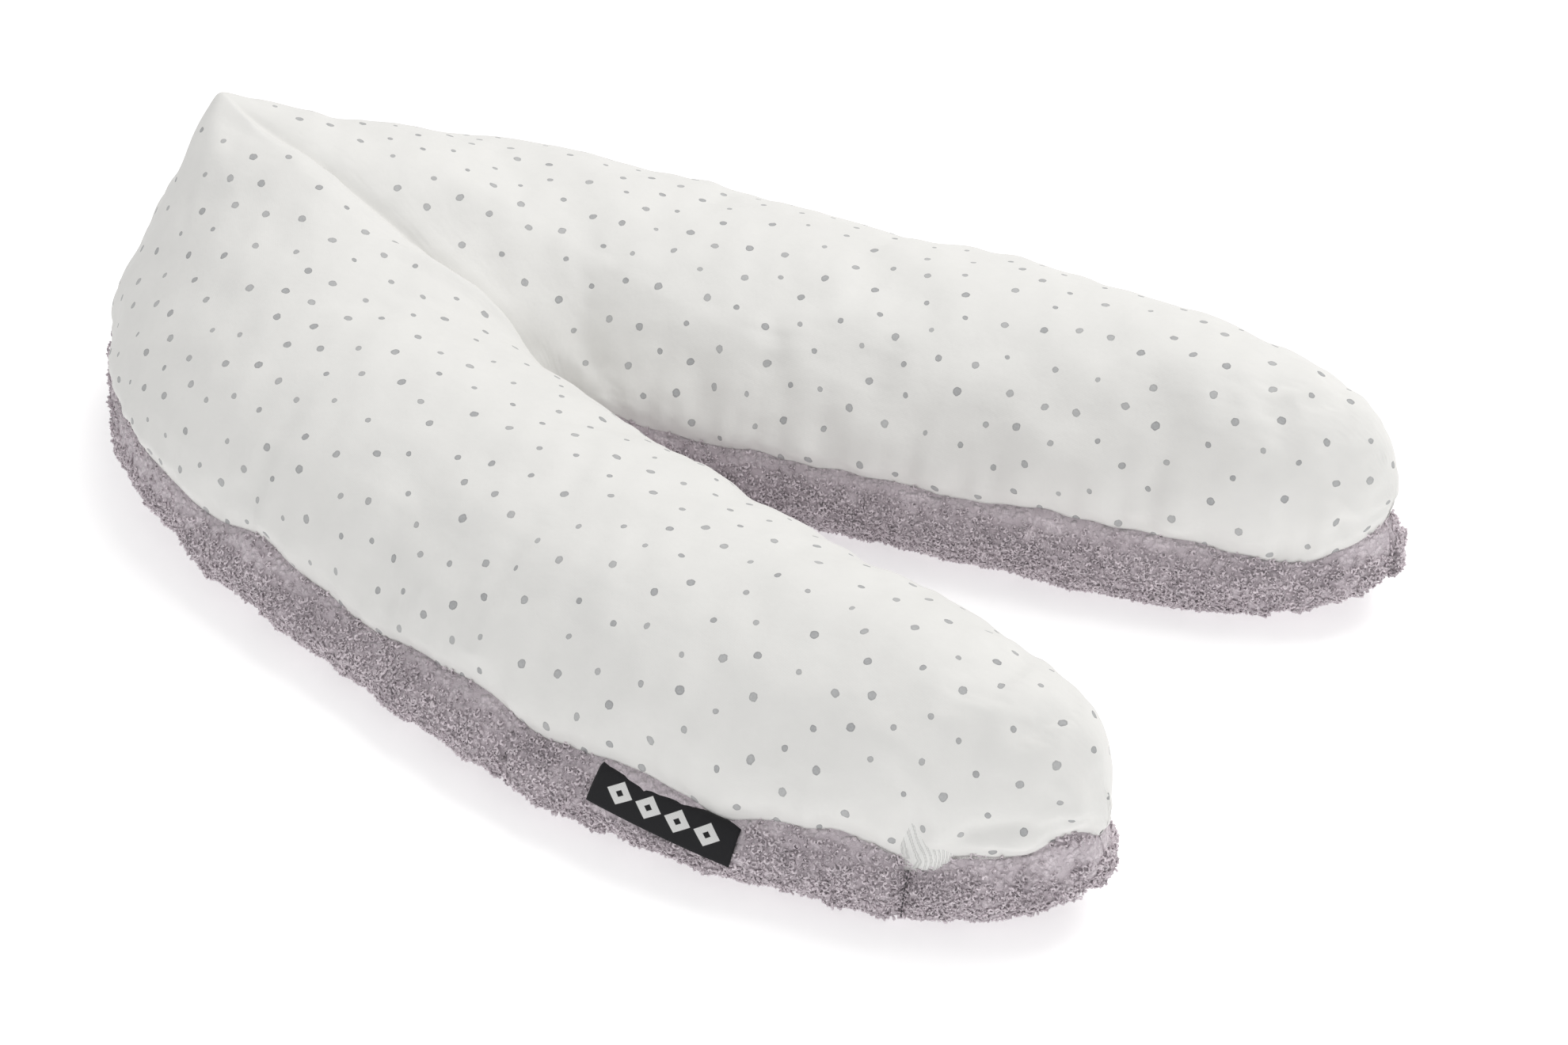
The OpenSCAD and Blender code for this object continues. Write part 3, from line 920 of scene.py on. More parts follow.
@dataclass(frozen=True)
class PlainCloth(Finish):
    """Woven or knitted cloth of one colour, such as casing cotton, zip tape or satin."""

    colour: tuple[float, float, float] = (0.8, 0.8, 0.8)
    threads: float = 1500.0
    relief: float = 0.00015

    def make(self, effects: Effects) -> bpy.types.Material:
        """Builds the material on object coordinates, so that it needs no UV map."""
        material, n, shader, place, _ = self.start()
        along_zip = (0.0, 0.0, math.radians(ZIP_ANGLE))
        turned = n.add("ShaderNodeMapping", {"Vector": place, "Rotation": along_zip}).outputs[0]
        weave = effects.weave.use(n, {"Vector": turned, "Threads": self.threads, "Slub": 0.4}).outputs
        tone = effects.mottling.use(n, {"Vector": place, "Size": 60.0, "Strength": 0.12}).outputs[0]
        # The random tone times painted shade: the cloth's colour is darkened in the gaps between threads.
        shade = n.math("MULTIPLY", tone, n.step(weave["Gaps"], 0, 1, 1.0, 0.72))
        relief = n.bump(weave["Height"], self.relief, 0.7)
        n.feed(shader, {"Base Color": n.scaled(self.colour, shade), "Normal": relief})
        return material


@dataclass(frozen=True)
class Wadding(Finish):
    """Loose polyester fibre, soft and tangled, with painted shade in its hollows."""

    colour: tuple[float, float, float] = (0.82, 0.82, 0.81)

    def make(self, effects: Effects) -> bpy.types.Material:
        """Builds the material."""
        material, n, shader, place, _ = self.start()
        curl = effects.curl.use(n, {"Vector": place, "Locks": 60.0, "Twist": 0.010}).outputs
        # Painted shade: the fibre is darkened to 0.7 of its colour in the hollows.
        colour = n.blend(curl["Hollow"], (*self.colour, 1), (*(v * 0.7 for v in self.colour), 1))
        n.feed(shader, {"Base Color": colour, "Normal": n.bump(curl["Height"], 0.004, 0.8)})
        return material


@dataclass(frozen=True)
class Enamel(Finish):
    """Grey enamel on a zip's small metal parts, worn bright in places."""

    colour: tuple[float, float, float] = (0.42, 0.41, 0.42)
    metal: tuple[float, float, float] = (0.62, 0.61, 0.60)

    def make(self, effects: Effects) -> bpy.types.Material:
        """Builds the material, worn where fine noise is high."""
        material, n, shader, place, _ = self.start()
        worn = n.step(n.noise(place, 900.0, 4.0, 0.6), 0.60, 0.70)
        tone = effects.mottling.use(n, {"Vector": place, "Size": 200.0, "Strength": 0.10}).outputs[0]
        n.feed(shader, {
            "Base Color": n.blend(worn, n.scaled(self.colour, tone), (*self.metal, 1)),
            "Metallic": worn,
            "Roughness": n.step(worn, 0, 1, 0.38, 0.25),
            "Normal": n.bump(n.noise(place, 1200.0, 2.0), 0.00003, 0.5),
        })
        return material


@dataclass(frozen=True)
class LabelWeave(Finish):
    """Black damask label with a row of white diamonds woven in. It reads the label's UV, in label lengths."""

    ground: tuple[float, float, float] = (0.012, 0.012, 0.014)
    figure: tuple[float, float, float] = (0.80, 0.80, 0.79)
    diamonds: int = 4

    def make(self, effects: Effects) -> bpy.types.Material:
        """Builds the material."""
        material, n, shader, _, cloth = self.start()
        parts = n.split(cloth)
        along = n.math("MULTIPLY", n.math("SUBTRACT", parts[0], 0.09), self.diamonds / 0.82)
        cell = n.math("ABSOLUTE", n.math("SUBTRACT", n.math("FRACT", along), 0.5))
        up = n.math("ABSOLUTE", n.math("SUBTRACT", parts[1], 0.5))
        rhomb = n.math("ADD", n.math("MULTIPLY", cell, 2.25), n.math("MULTIPLY", up, 3.7))
        solid = n.step(rhomb, 1.03, 0.97)
        hole = n.step(rhomb, 0.34, 0.28)
        shape = n.math("MULTIPLY", solid, n.math("SUBTRACT", 1.0, hole))
        before_last = n.math("LESS_THAN", along, float(self.diamonds))
        inside = n.math("MULTIPLY", n.math("GREATER_THAN", along, 0.0), before_last)
        shape = n.math("MULTIPLY", shape, inside)
        rib = n.math("SINE", n.math("MULTIPLY", parts[1], 2 * math.pi * 52))
        yarn = n.math("SINE", n.math("MULTIPLY", parts[0], 2 * math.pi * 150))
        relief = n.math("ADD", n.math("MULTIPLY", rib, 0.5), n.math("MULTIPLY", yarn, 0.35))
        lit = n.step(relief, -0.8, 0.6, 0.72, 1.1)
        colour = n.blend(shape, n.scaled(self.ground, lit), n.scaled(self.figure, lit))
        height = n.math("ADD", n.math("MULTIPLY", relief, 0.3), n.math("MULTIPLY", shape, 0.8))
        n.feed(shader, {"Base Color": colour, "Normal": n.bump(height, 0.0002, 0.8)})
        return material


class Finishes:
    """Every finish of the pillow, made once."""

    def __init__(self) -> None:
        """Builds the effects and then the materials."""
        effects = Effects()
        self.cotton = DottedCotton("dotted cotton", roughness=0.92, sheen=0.12, gloss=0.2).make(effects)
        self.fleece = TeddyFleece("teddy fleece", roughness=0.96, sheen=0.35, gloss=0.1).make(effects)
        self.lock = TeddyFleece("fleece lock", roughness=0.96, sheen=0.35, gloss=0.1, is_lock=True).make(effects)
        self.thread = PlainCloth("overlock thread", 0.8, 0.1, 0.3, (0.70, 0.68, 0.67), 2500.0, 0.0002).make(effects)
        self.casing = PlainCloth("casing cotton", 0.9, 0.05, 0.3, (0.84, 0.84, 0.82), 1300.0).make(effects)
        self.wadding = Wadding("fibre filling", roughness=1.0, sheen=0.3, gloss=0.1).make(effects)
        self.tape = PlainCloth("zip tape", 0.85, 0.1, 0.3, (0.40, 0.38, 0.39), 1400.0, 0.0003).make(effects)
        self.coil = PlainCloth("zip coil", 0.42, 0.0, 0.5, (0.44, 0.42, 0.43), 300.0, 0.00005).make(effects)
        self.metal = Enamel("enamelled metal", roughness=0.38, gloss=0.5).make(effects)
        self.label = LabelWeave("label weave", roughness=0.7, sheen=0.1, gloss=0.3).make(effects)
        self.satin = PlainCloth("care satin", 0.45, 0.2, 0.5, (0.86, 0.86, 0.85), 2600.0, 0.00006).make(effects)
        edge = PlainCloth("cotton edge", 0.92, 0.12, 0.2, DottedCotton.ground, 2600.0, 0.00012)
        self.cotton_edge = edge.make(effects)
        stitch = PlainCloth("sewing thread", 0.75, 0.1, 0.3, (0.055, 0.05, 0.055), 3000.0, 0.0001)
        self.stitch = stitch.make(effects)
        self.topstitch = replace(stitch, name="topstitch thread", colour=(0.62, 0.60, 0.60)).make(effects)


# --------------------------------------------------------------------------------------------------
# The cover


@dataclass
class DotPrint:
    """The printed dots: loose, hand-drawn, in two sizes. Lengths are in metres."""

    spacing: float = 0.0205
    large: float = 0.0027
    small: float = 0.0020
    fold_kept: float = 0.015
    seed: int = 11

    def scatter(self, places: Points) -> Points:
        """Picks places no closer together than the spacing.

        Args:
            places: N by 3 places on the cloth.

        Returns:
            Indexes of the places picked.
        """
        rng = np.random.default_rng(self.seed)
        taken: dict[tuple[int, ...], list[int]] = {}
        kept = []
        for i in rng.permutation(len(places)):
            cell = tuple(np.floor(places[i] / self.spacing).astype(int))
            around = (
                j
                for x in (-1, 0, 1) for y in (-1, 0, 1) for z in (-1, 0, 1)
                for j in taken.get((cell[0] + x, cell[1] + y, cell[2] + z), ())
            )
            if all(np.linalg.norm(places[i] - places[j]) > self.spacing for j in around):
                taken.setdefault(cell, []).append(i)
                kept.append(i)
        return np.array(kept)

    def draw(self, piece: bpy.types.Object) -> None:
        """Stores each face corner's place within its nearest dot, as the attribute "dot".

        The first two numbers are 1 long at the dot's edge; the third is the dot's own shade.

        Args:
            piece: the cloth.
        """
        mesh = piece.data
        places, out = coordinates(mesh), normals(mesh)
        centres = self.scatter(places)
        in_fold = (np.abs(places[centres, 1]) < self.fold_kept) & (places[centres, 0] > PillowForm.peak_x - 0.01)
        centres = centres[~in_fold]
        rng = np.random.default_rng(self.seed + 1)
        count = len(centres)
        turn = rng.uniform(0, 2 * math.pi, count)
        reference = np.column_stack([np.cos(turn), np.sin(turn), 0.3 * np.sin(3 * turn)])
        first = np.cross(out[centres], reference)
        first /= np.linalg.norm(first, axis=1, keepdims=True)
        second = np.cross(out[centres], first)
        radius = np.where(rng.random(count) < 0.45, self.small, self.large) * rng.uniform(0.92, 1.08, count)
        squash = rng.uniform(0.80, 1.0, count)
        tone = rng.random(count)
        tree = tree_of(places[centres])
        nearest = np.array([tree.find(middle)[1] for middle in read_values(mesh.polygons, "center", 3)])
        dots = np.repeat(nearest, read_values(mesh.polygons, "loop_total", 1, np.int32).ravel())
        gap = places[corner_vertices(mesh)] - places[centres][dots]
        x = np.einsum("ij,ij->i", gap, first[dots]) / radius[dots]
        y = np.einsum("ij,ij->i", gap, second[dots]) / (radius * squash)[dots]
        stored = mesh.attributes.new("dot", "FLOAT_VECTOR", "CORNER")
        stored.data.foreach_set("vector", np.column_stack([x, y, tone[dots]]).astype(np.float32).ravel())


@dataclass
class Cover:
    """The removable cover: cotton top and fleece base, swollen by the cushion and sewn at the seam."""

    form: PillowForm
    seam: SeamLine
    voxel: float = 0.006
    pressure: float = 4.0
    slack: float = -0.03
    most_swell: float = 0.0065
    swell_kept: float = 0.20
    wrinkle: float = 0.6
    seam_pull: float = 0.0042
    seam_band: float = 0.009
    turned_in: float = 0.005
    peak: tuple[float, float, float] = (-0.3546, 0.0, 0.2040)
    peak_rise: float = 0.0085
    peak_reach: float = 0.012
    rear_tip_reach: float = 0.007
    fleece_pinch: Crease = Crease(((341, -252, 62), (339, -254, 40), (332, -246, 6)), 0.0100, 0.0052, 0.35, 0.12)
    creases: tuple[Crease, ...] = (
        Crease(((-154, -227, 62), (-155, -217, 94), (-156, -200, 119), (-151, -165, 142)), 0.0056, 0.0056, 0.9),
        Crease(((-36, -249, 60), (-32, -240, 92), (-38, -229, 107)), 0.0064, 0.0044, 0.8),
        Crease(((-27, -249, 66), (-1, -224, 119), (4, -166, 144)), 0.0036, 0.0036, 0.7),
        Crease(((41, -252, 90), (45, -222, 126), (41, -178, 143)), 0.0034, 0.0036, 0.7),
        Crease(((342, -240, 60), (332, -237, 96), (317, -235, 110), (301, -236, 115)), 0.0042, 0.0085, 0.8, 0.6),
        Crease(((410, -203, 66), (406, -201, 99), (394, -203, 116)), 0.0044, 0.0062, 0.8),
        Crease(((349, -238, 62), (365, -228, 83), (391, -213, 90), (406, -204, 79)), 0.0036, 0.0060, 0.9, 0.4),
        Crease(((395, -215, 62), (385, -219, 69), (376, -224, 63)), 0.0028, 0.0034, 0.6),
        Crease(((236, -265, 53), (234, -263, 68), (222, -264, 82)), 0.0034, 0.0036, 0.8),
        Crease(((274, -259, 62), (268, -256, 82), (259, -255, 92)), 0.0028, 0.0036, 0.7),
        Crease(((-328, -75, 156), (-340, -51, 170), (-362, -29, 176)), 0.0010, 0.0040, 0.7),
        Crease(((413, 148, 62), (407, 144, 83), (392, 136, 106)), 0.0040, 0.0044, 0.8),
        Crease(((390, 205, 60), (384, 198, 90), (366, 190, 118)), 0.0040, 0.0046, 0.8),
        Crease(((330, 242, 62), (322, 236, 95), (300, 226, 122)), 0.0046, 0.0050, 0.8),
        Crease(((230, 268, 62), (228, 256, 96), (220, 236, 126)), 0.0030, 0.0042, 0.7),
        Crease(((60, 256, 66), (52, 242, 100), (44, 210, 134)), 0.0030, 0.0042, 0.7),
        Crease(((-120, 238, 62), (-124, 226, 98), (-126, 196, 134)), 0.0040, 0.0044, 0.8),
        Crease(((-270, 196, 62), (-272, 182, 100), (-262, 150, 146)), 0.0036, 0.0044, 0.8),
        Crease(((-405, 60, 62), (-396, 58, 96), (-376, 50, 140)), 0.0036, 0.0044, 0.8),
        Crease(((-400, -88, 62), (-388, -84, 96), (-364, -76, 138)), 0.0030, 0.0044, 0.8),
        Crease(((60, -40, 66), (64, -60, 96), (70, -90, 126)), 0.0034, 0.0042, 0.8),
        Crease(((150, 62, 66), (152, 82, 98), (156, 112, 126)), 0.0034, 0.0042, 0.8),
        Crease(((270, -88, 64), (272, -106, 98), (276, -134, 126)), 0.0036, 0.0044, 0.8),
        Crease(((300, 96, 64), (300, 114, 98), (300, 140, 128)), 0.0036, 0.0044, 0.8),
    )
    seam_dips: tuple[tuple[float, float, float, float], ...] = (
        (415, -194, 15, 22), (376, -223, 2, 16), (340, -239, -8.5, 20), (268, -258, -6.5, 16), (225, -264, -13, 34),
        (150, -268, -1.5, 30), (100, -268, -10, 34), (-45, -245, -11, 32), (-150, -226, 4.5, 22),
        (-285, -187, 12, 40), (-345, -145, 8, 34), (-402, -80, 9, 50), (380, 110, -11, 26), (417, 168, 10, 30),
    )

    def swelling(self) -> tuple[KDTree, Points]:
        """Blows an even copy of the cover up from inside with a cloth simulation.

        Returns:
            A tree of the copy's points, and how far each of them moved.
        """
        body = self.form.closed_mesh("swelling", Layer.COVER, 110, 72, 36)
        remesh = body.modifiers.new("even", "REMESH")
        remesh.mode = "VOXEL"
        remesh.voxel_size = self.voxel
        settle(body)
        before = coordinates(body.data)
        held = body.vertex_groups.new(name="held")
        _, away = self.seam.nearest(before)
        sewn = (np.abs(before[:, 2] - self.form.seam_height) < 0.004) & (away < 0.02)
        held.add([int(i) for i in np.flatnonzero(sewn | (before[:, 2] < 0.004))], 1.0, "REPLACE")
        cloth = body.modifiers.new("cloth", "CLOTH")
        settings = cloth.settings
        settings.quality = 4
        settings.mass = 0.25
        settings.tension_stiffness = settings.compression_stiffness = 18
        settings.shear_stiffness = 6
        settings.bending_stiffness = 0.12
        settings.use_pressure = True
        settings.uniform_pressure_force = self.pressure
        settings.shrink_min = self.slack
        settings.vertex_group_mass = "held"
        settings.effector_weights.gravity = 0
        cloth.collision_settings.use_collision = False
        for step in range(1, 21):
            bpy.context.scene.frame_set(step)
        settle(body)
        bpy.context.scene.frame_set(1)
        move = coordinates(body.data) - before
        log.info("cover: cloth moved %.1f mm at most", 1000 * float(np.linalg.norm(move, axis=1).max()))
        move -= (1 - self.swell_kept) * self.broad(before, move)
        size = np.linalg.norm(move, axis=1, keepdims=True)
        move *= self.wrinkle * np.minimum(1, self.most_swell / np.maximum(self.wrinkle * size, 1e-9))
        bpy.data.objects.remove(body)
        return tree_of(before), move

    def broad(self, places: Points, move: Points) -> Points:
        """The slow part of a movement, so that the folds can be told from the swelling."""
        picks = np.arange(0, len(places), 40)
        tree = tree_of(places[picks])
        coarse = np.empty((len(picks), 3))
        for i, pick in enumerate(picks):
            near = [index for _, index, _ in tree.find_n(places[pick], 7)]
            coarse[i] = move[picks[near]].mean(axis=0)
        slow = np.empty_like(move)
        for i, place in enumerate(places):
            near = tree.find_n(place, 6)
            share = np.array([math.exp(-((gap / 0.03) ** 2)) + 1e-6 for _, _, gap in near])
            slow[i] = (coarse[[index for _, index, _ in near]] * share[:, None]).sum(axis=0) / share.sum()
        return slow

    def swell(self, places: Points, swollen: tuple[KDTree, Points]) -> Points:
        """Moves places as the cloth near them moved, and keeps the two arms apart.

        Args:
            places: N by 3 places on the cover.
            swollen: what swelling() gave.

        Returns:
            The new places.
        """
        tree, move = swollen
        moved = places.copy()
        for i, place in enumerate(places):
            near = tree.find_n(place, 5)
            share = np.array([1 / (gap + 0.002) for _, _, gap in near])
            moved[i] += (move[[index for _, index, _ in near]] * share[:, None]).sum(axis=0) / share.sum()
        _, away = self.seam.nearest(places)
        moved = places + (moved - places) * smoothstep(0.0, 0.012, away)[:, None]
        for sign in (-1, 1):
            side = places[:, 1] * sign > 1e-6
            moved[side, 1] = sign * np.maximum(moved[side, 1] * sign, 0.0003)
        moved[np.abs(places[:, 1]) <= 1e-6, 1] = 0
        moved[:, 2] = np.maximum(moved[:, 2], 0.0)
        return moved

    def panel(self, name: str, is_top: bool, swollen: Optional[tuple[KDTree, Points]]) -> bpy.types.Object:
        """The cotton top or the fleece base as one open sheet from tip to tip.

        Args:
            name: the piece's name.
            is_top: True for the cotton.
            swollen: what swelling() gave, or None to leave the form as drawn.

        Returns:
            The piece, with finer faces.
        """
        count, top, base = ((150, 96, 56))
        rings: dict[Arm, list[Points]] = {arm: [] for arm in Arm}
        for arm, held in rings.items():
            for w in self.form.stations(count)[:-1]:
                ring = self.form.ring(w, top, base, 0.0, arm)
                held.append(ring[: top + 1] if is_top else np.vstack([ring[top:], ring[:1]]))
        mirror = np.array([1.0, -1.0, 1.0])
        rows = [ring * mirror for ring in rings[Arm.FRONT_SIDE][:0:-1]] + rings[Arm.REAR_SIDE]
        across = len(rows[0])
        tip = np.array([self.form.length / 2, self.form.tip_y, self.form.seam_height])
        places = np.vstack(rows + [tip * mirror, tip])
        if swollen is not None:
            places = self.swell(places, swollen)
        faces = grid_faces(len(rows) - 1, across)
        first, last = len(places) - 2, len(places) - 1
        end = (len(rows) - 1) * across
        faces.extend((first, j + 1, j) for j in range(across - 1))
        faces.extend((last, end + j, end + j + 1) for j in range(across - 1))
        piece = mesh_object(name, places, faces)
        if (normals(piece.data)[:, 2].mean() > 0) != is_top:
            piece.data.flip_normals()
        grid = np.array(rows)
        along = np.linalg.norm(np.diff(grid[:, across // 2], axis=0), axis=1)
        beside = np.linalg.norm(np.diff(grid, axis=1), axis=2).cumsum(axis=1)
        u = np.concatenate([[0], along.cumsum()])
        v = np.hstack([np.zeros((len(rows), 1)), beside])
        v -= v[:, across // 2][:, None]
        flat = np.column_stack([np.repeat(u, across), v.ravel()])
        flat = np.vstack([flat, [flat[0, 0] - 0.004, 0], [flat[-1, 0] + 0.004, 0]])
        corners = flat[corner_vertices(piece.data)].astype(np.float32)
        piece.data.uv_layers.new(name="UVMap").data.foreach_set("uv", corners.ravel())
        refine(piece, "PRESERVE_CORNERS")
        return piece

    def seam_lift(self, found: Points, away: Points) -> Points:
        """How far the sewn seam wanders up or down near each place."""
        line = self.seam.points[found]
        lift = 0.0016 * ripple(line, 0.085, 5) + 0.0008 * ripple(line, 0.030, 6)
        for x, y, rise, reach in self.seam_dips:
            gap = np.linalg.norm(line - np.array([x, y]) * 0.001, axis=1)
            lift += 0.001 * rise * np.exp(-((gap / (0.001 * reach)) ** 2))
        return lift * np.exp(-((away / 0.030) ** 2)) * self.off_zip(line)

    def bulge_at(self, found: Points) -> Points:
        """How far the fleece stands out below each seam point: full along the arms, less round nose and tips."""
        stations = (0.0, 0.10, 0.20, 0.30, 0.42, 0.60, 0.75, 0.88, 1.0)
        front = (0.000, 0.006, 0.006, 0.006, 0.014, 0.015, 0.013, 0.002, 0.000)
        rear = (0.000, 0.003, 0.006, 0.008, 0.008, 0.008, 0.008, 0.007, 0.007)
        inside = (0.004, 0.004, 0.005, 0.006, 0.006, 0.006, 0.006, 0.004, 0.001)
        w = self.seam.station[found]
        outer = np.where(self.seam.arm[found] < 0, np.interp(w, stations, front), np.interp(w, stations, rear))
        return np.where(self.seam.outer_side[found], outer, np.interp(w, stations, inside))

    def lift_at(self, plan: Points) -> Points:
        """How far the seam wanders at places in plan on the seam."""
        places = np.column_stack([plan, np.full(len(plan), self.form.seam_height)])
        found, _ = self.seam.nearest(places)
        return self.seam_lift(found, np.zeros(len(plan)))

    def pinch_line(self) -> Points:
        """The line of stitches that gathers the fleece near the front tip, just outside its groove."""
        corners = np.array(self.fleece_pinch.path) * 0.001
        share = np.linspace(0, 1, 24)
        line = np.column_stack([np.interp(share, (0, 0.5, 1), corners[:, k]) for k in range(3)])
        return line[3:20] + np.array([0.10, 0.62, 0]) * 0.0045

    def off_zip(self, line: Points) -> Points:
        """0 along the zip, where the seam stays straight and flat, and 1 away from it."""
        along = self.form.along()
        gap = (line - np.array(ZIP_MIDDLE[:2])) @ along
        beside = np.abs((line - np.array(ZIP_MIDDLE[:2])) @ np.array([-along[1], along[0]]))
        return 1 - smoothstep(0.165, 0.145, np.abs(gap)) * (beside < 0.02)

    def shape(self, piece: bpy.types.Object, is_top: bool) -> None:
        """Gives the cloth its gathered seam, creases and slack.

        Args:
            piece: the top or the base.
            is_top: True for the cotton.
        """
        mesh = piece.data
        places, out = coordinates(mesh), normals(mesh)
        found, away = self.seam.nearest(places)
        outwards = np.column_stack([self.seam.outwards[found], np.zeros(len(found))])
        at_crotch = smoothstep(0.008, 0.0, np.abs(places[:, 1])) * ~self.seam.outer_side[found]
        outwards *= 1 - at_crotch[:, None]
        line = self.seam.points[found]
        free = self.off_zip(line)
        near = np.exp(-((away / self.seam_band) ** 2)) * free
        lift = self.seam_lift(found, away)
        gather = ripple(line, 0.016, 21) * 0.6 + ripple(line, 0.034, 22)
        inwards = smoothstep(0.0, 0.014, away)
        press = np.zeros(len(places))
        for crease in self.creases:
            press += crease.press(places, out)
        press = evened(mesh, press, 4)
        if is_top:
            pucker = 0.0016 * free * gather * np.exp(-away / 0.020) * (1 - np.exp(-((away / 0.006) ** 2)))
            slack = 0.0007 * ripple(places, 0.060, 31) + 0.00022 * ripple(places, 0.024, 32)
            move = pucker + slack * smoothstep(0.0, 0.03, away) + press * inwards
            places = places + out * move[:, None]
            places -= outwards * (self.seam_pull * near)[:, None]
            gap = np.linalg.norm(places - np.array(self.peak), axis=1)
            places[:, 2] += self.peak_rise * np.exp(-gap / self.peak_reach)
        else:
            low = smoothstep(0.002, 0.018, places[:, 2])
            swell = np.exp(-np.abs((places[:, 2] - 0.026) / 0.025) ** 2.6)
            bulge = self.bulge_at(found) * swell * (1 + 0.12 * ripple(line, 0.070, 41)) * smoothstep(0.12, 0.07, away)
            bulge *= (0.45 + 0.55 * free) * smoothstep(0.0, 0.005, away)
            clump = 0.0010 * ripple(places, 0.014, 42) + 0.0004 * ripple(places, 0.007, 43)
            places = places + outwards * (bulge - self.seam_pull * near)[:, None]
            places = places + out * (clump * low * (1 - near) + inwards * self.fleece_pinch.press(places, out))[:, None]
            floor = 0.0014 * np.maximum(0, ripple(line, 0.080, 44))
            rim = np.exp(-((places[:, 2] / self.form.rim_height) ** 2))
            rim *= smoothstep(self.form.rim_far, self.form.rim_near, away)
            places[:, 2] += floor * rim
            flat = places[:, 2] < 0.0035
            tuft = 0.0009 * (1 + ripple(places, 0.014, 45) * 0.6 + ripple(places, 0.007, 46) * 0.4)
            places[flat, 2] = np.maximum(places[flat, 2], np.maximum(tuft[flat], 0.0001))
        places[:, 2] += lift
        places[:, 0] += self.rear_tip_reach * smoothstep(0.28, 0.42, places[:, 0]) * (places[:, 1] > 0)
        move_vertices(mesh, places)

    def lead(self, piece: bpy.types.Object) -> None:
        """Moves a layer inside the cover as the seam wanders and the creases press in."""
        places, out = coordinates(piece.data), normals(piece.data)
        found, away = self.seam.nearest(places)
        press = np.zeros(len(places))
        for crease in self.creases:
            wide = replace(crease, width=1.7 * crease.width, depth=1.3 * crease.depth, ridge=0.0)
            press += wide.press(places, out)
        places = places + out * evened(piece.data, press, 2)[:, None]
        clear = 0.0045 * np.exp(-((away / 0.040) ** 2))
        places[:, :2] -= self.seam.outwards[found] * (clear * smoothstep(0.010, 0.030, np.abs(places[:, 1])))[:, None]
        places[:, 2] += self.seam_lift(found, away)
        move_vertices(piece.data, places)

    def turn_in(self, piece: bpy.types.Object, way: int) -> None:
        """Folds the cut edge inwards at the seam, so that cloth turns in and doesn't just stop.

        Args:
            piece: the open piece.
            way: 1 for the top, whose fold leans up; -1 for the base.
        """
        mesh = bmesh.new()
        mesh.from_mesh(piece.data)
        for depth, rise in ((0.0012, 0.0007), (self.turned_in, 0.0016)):
            rim = [e for e in mesh.edges if e.is_boundary]
            made = bmesh.ops.extrude_edge_only(mesh, edges=rim)["geom"]
            corners = [v for v in made if isinstance(v, bmesh.types.BMVert)]
            places = np.array([v.co[:] for v in corners])
            found, _ = self.seam.nearest(places)
            for vertex, index in zip(corners, found):
                out = self.seam.outwards[index]
                vertex.co.x -= depth * out[0]
                vertex.co.y -= depth * out[1]
                vertex.co.z += way * rise
        bmesh.ops.recalc_face_normals(mesh, faces=mesh.faces[:])
        mesh.to_mesh(piece.data)
        mesh.free()

    def build(self, finishes: Finishes) -> tuple[bpy.types.Object, bpy.types.Object]:
        """Makes the cotton top and the fleece base.

        Args:
            finishes: the materials.

        Returns:
            The top and the base.
        """
        swollen = self.swelling()
        top = self.panel("cover_top", True, swollen)
        base = self.panel("cover_base", False, swollen)
        DotPrint().draw(top)
        for piece, is_top in ((top, True), (base, False)):
            self.shape(piece, is_top)
            self.turn_in(piece, 1 if is_top else -1)
            shade_smooth(piece)
        give_material(top, finishes.cotton)
        give_material(base, finishes.fleece)
        return top, base


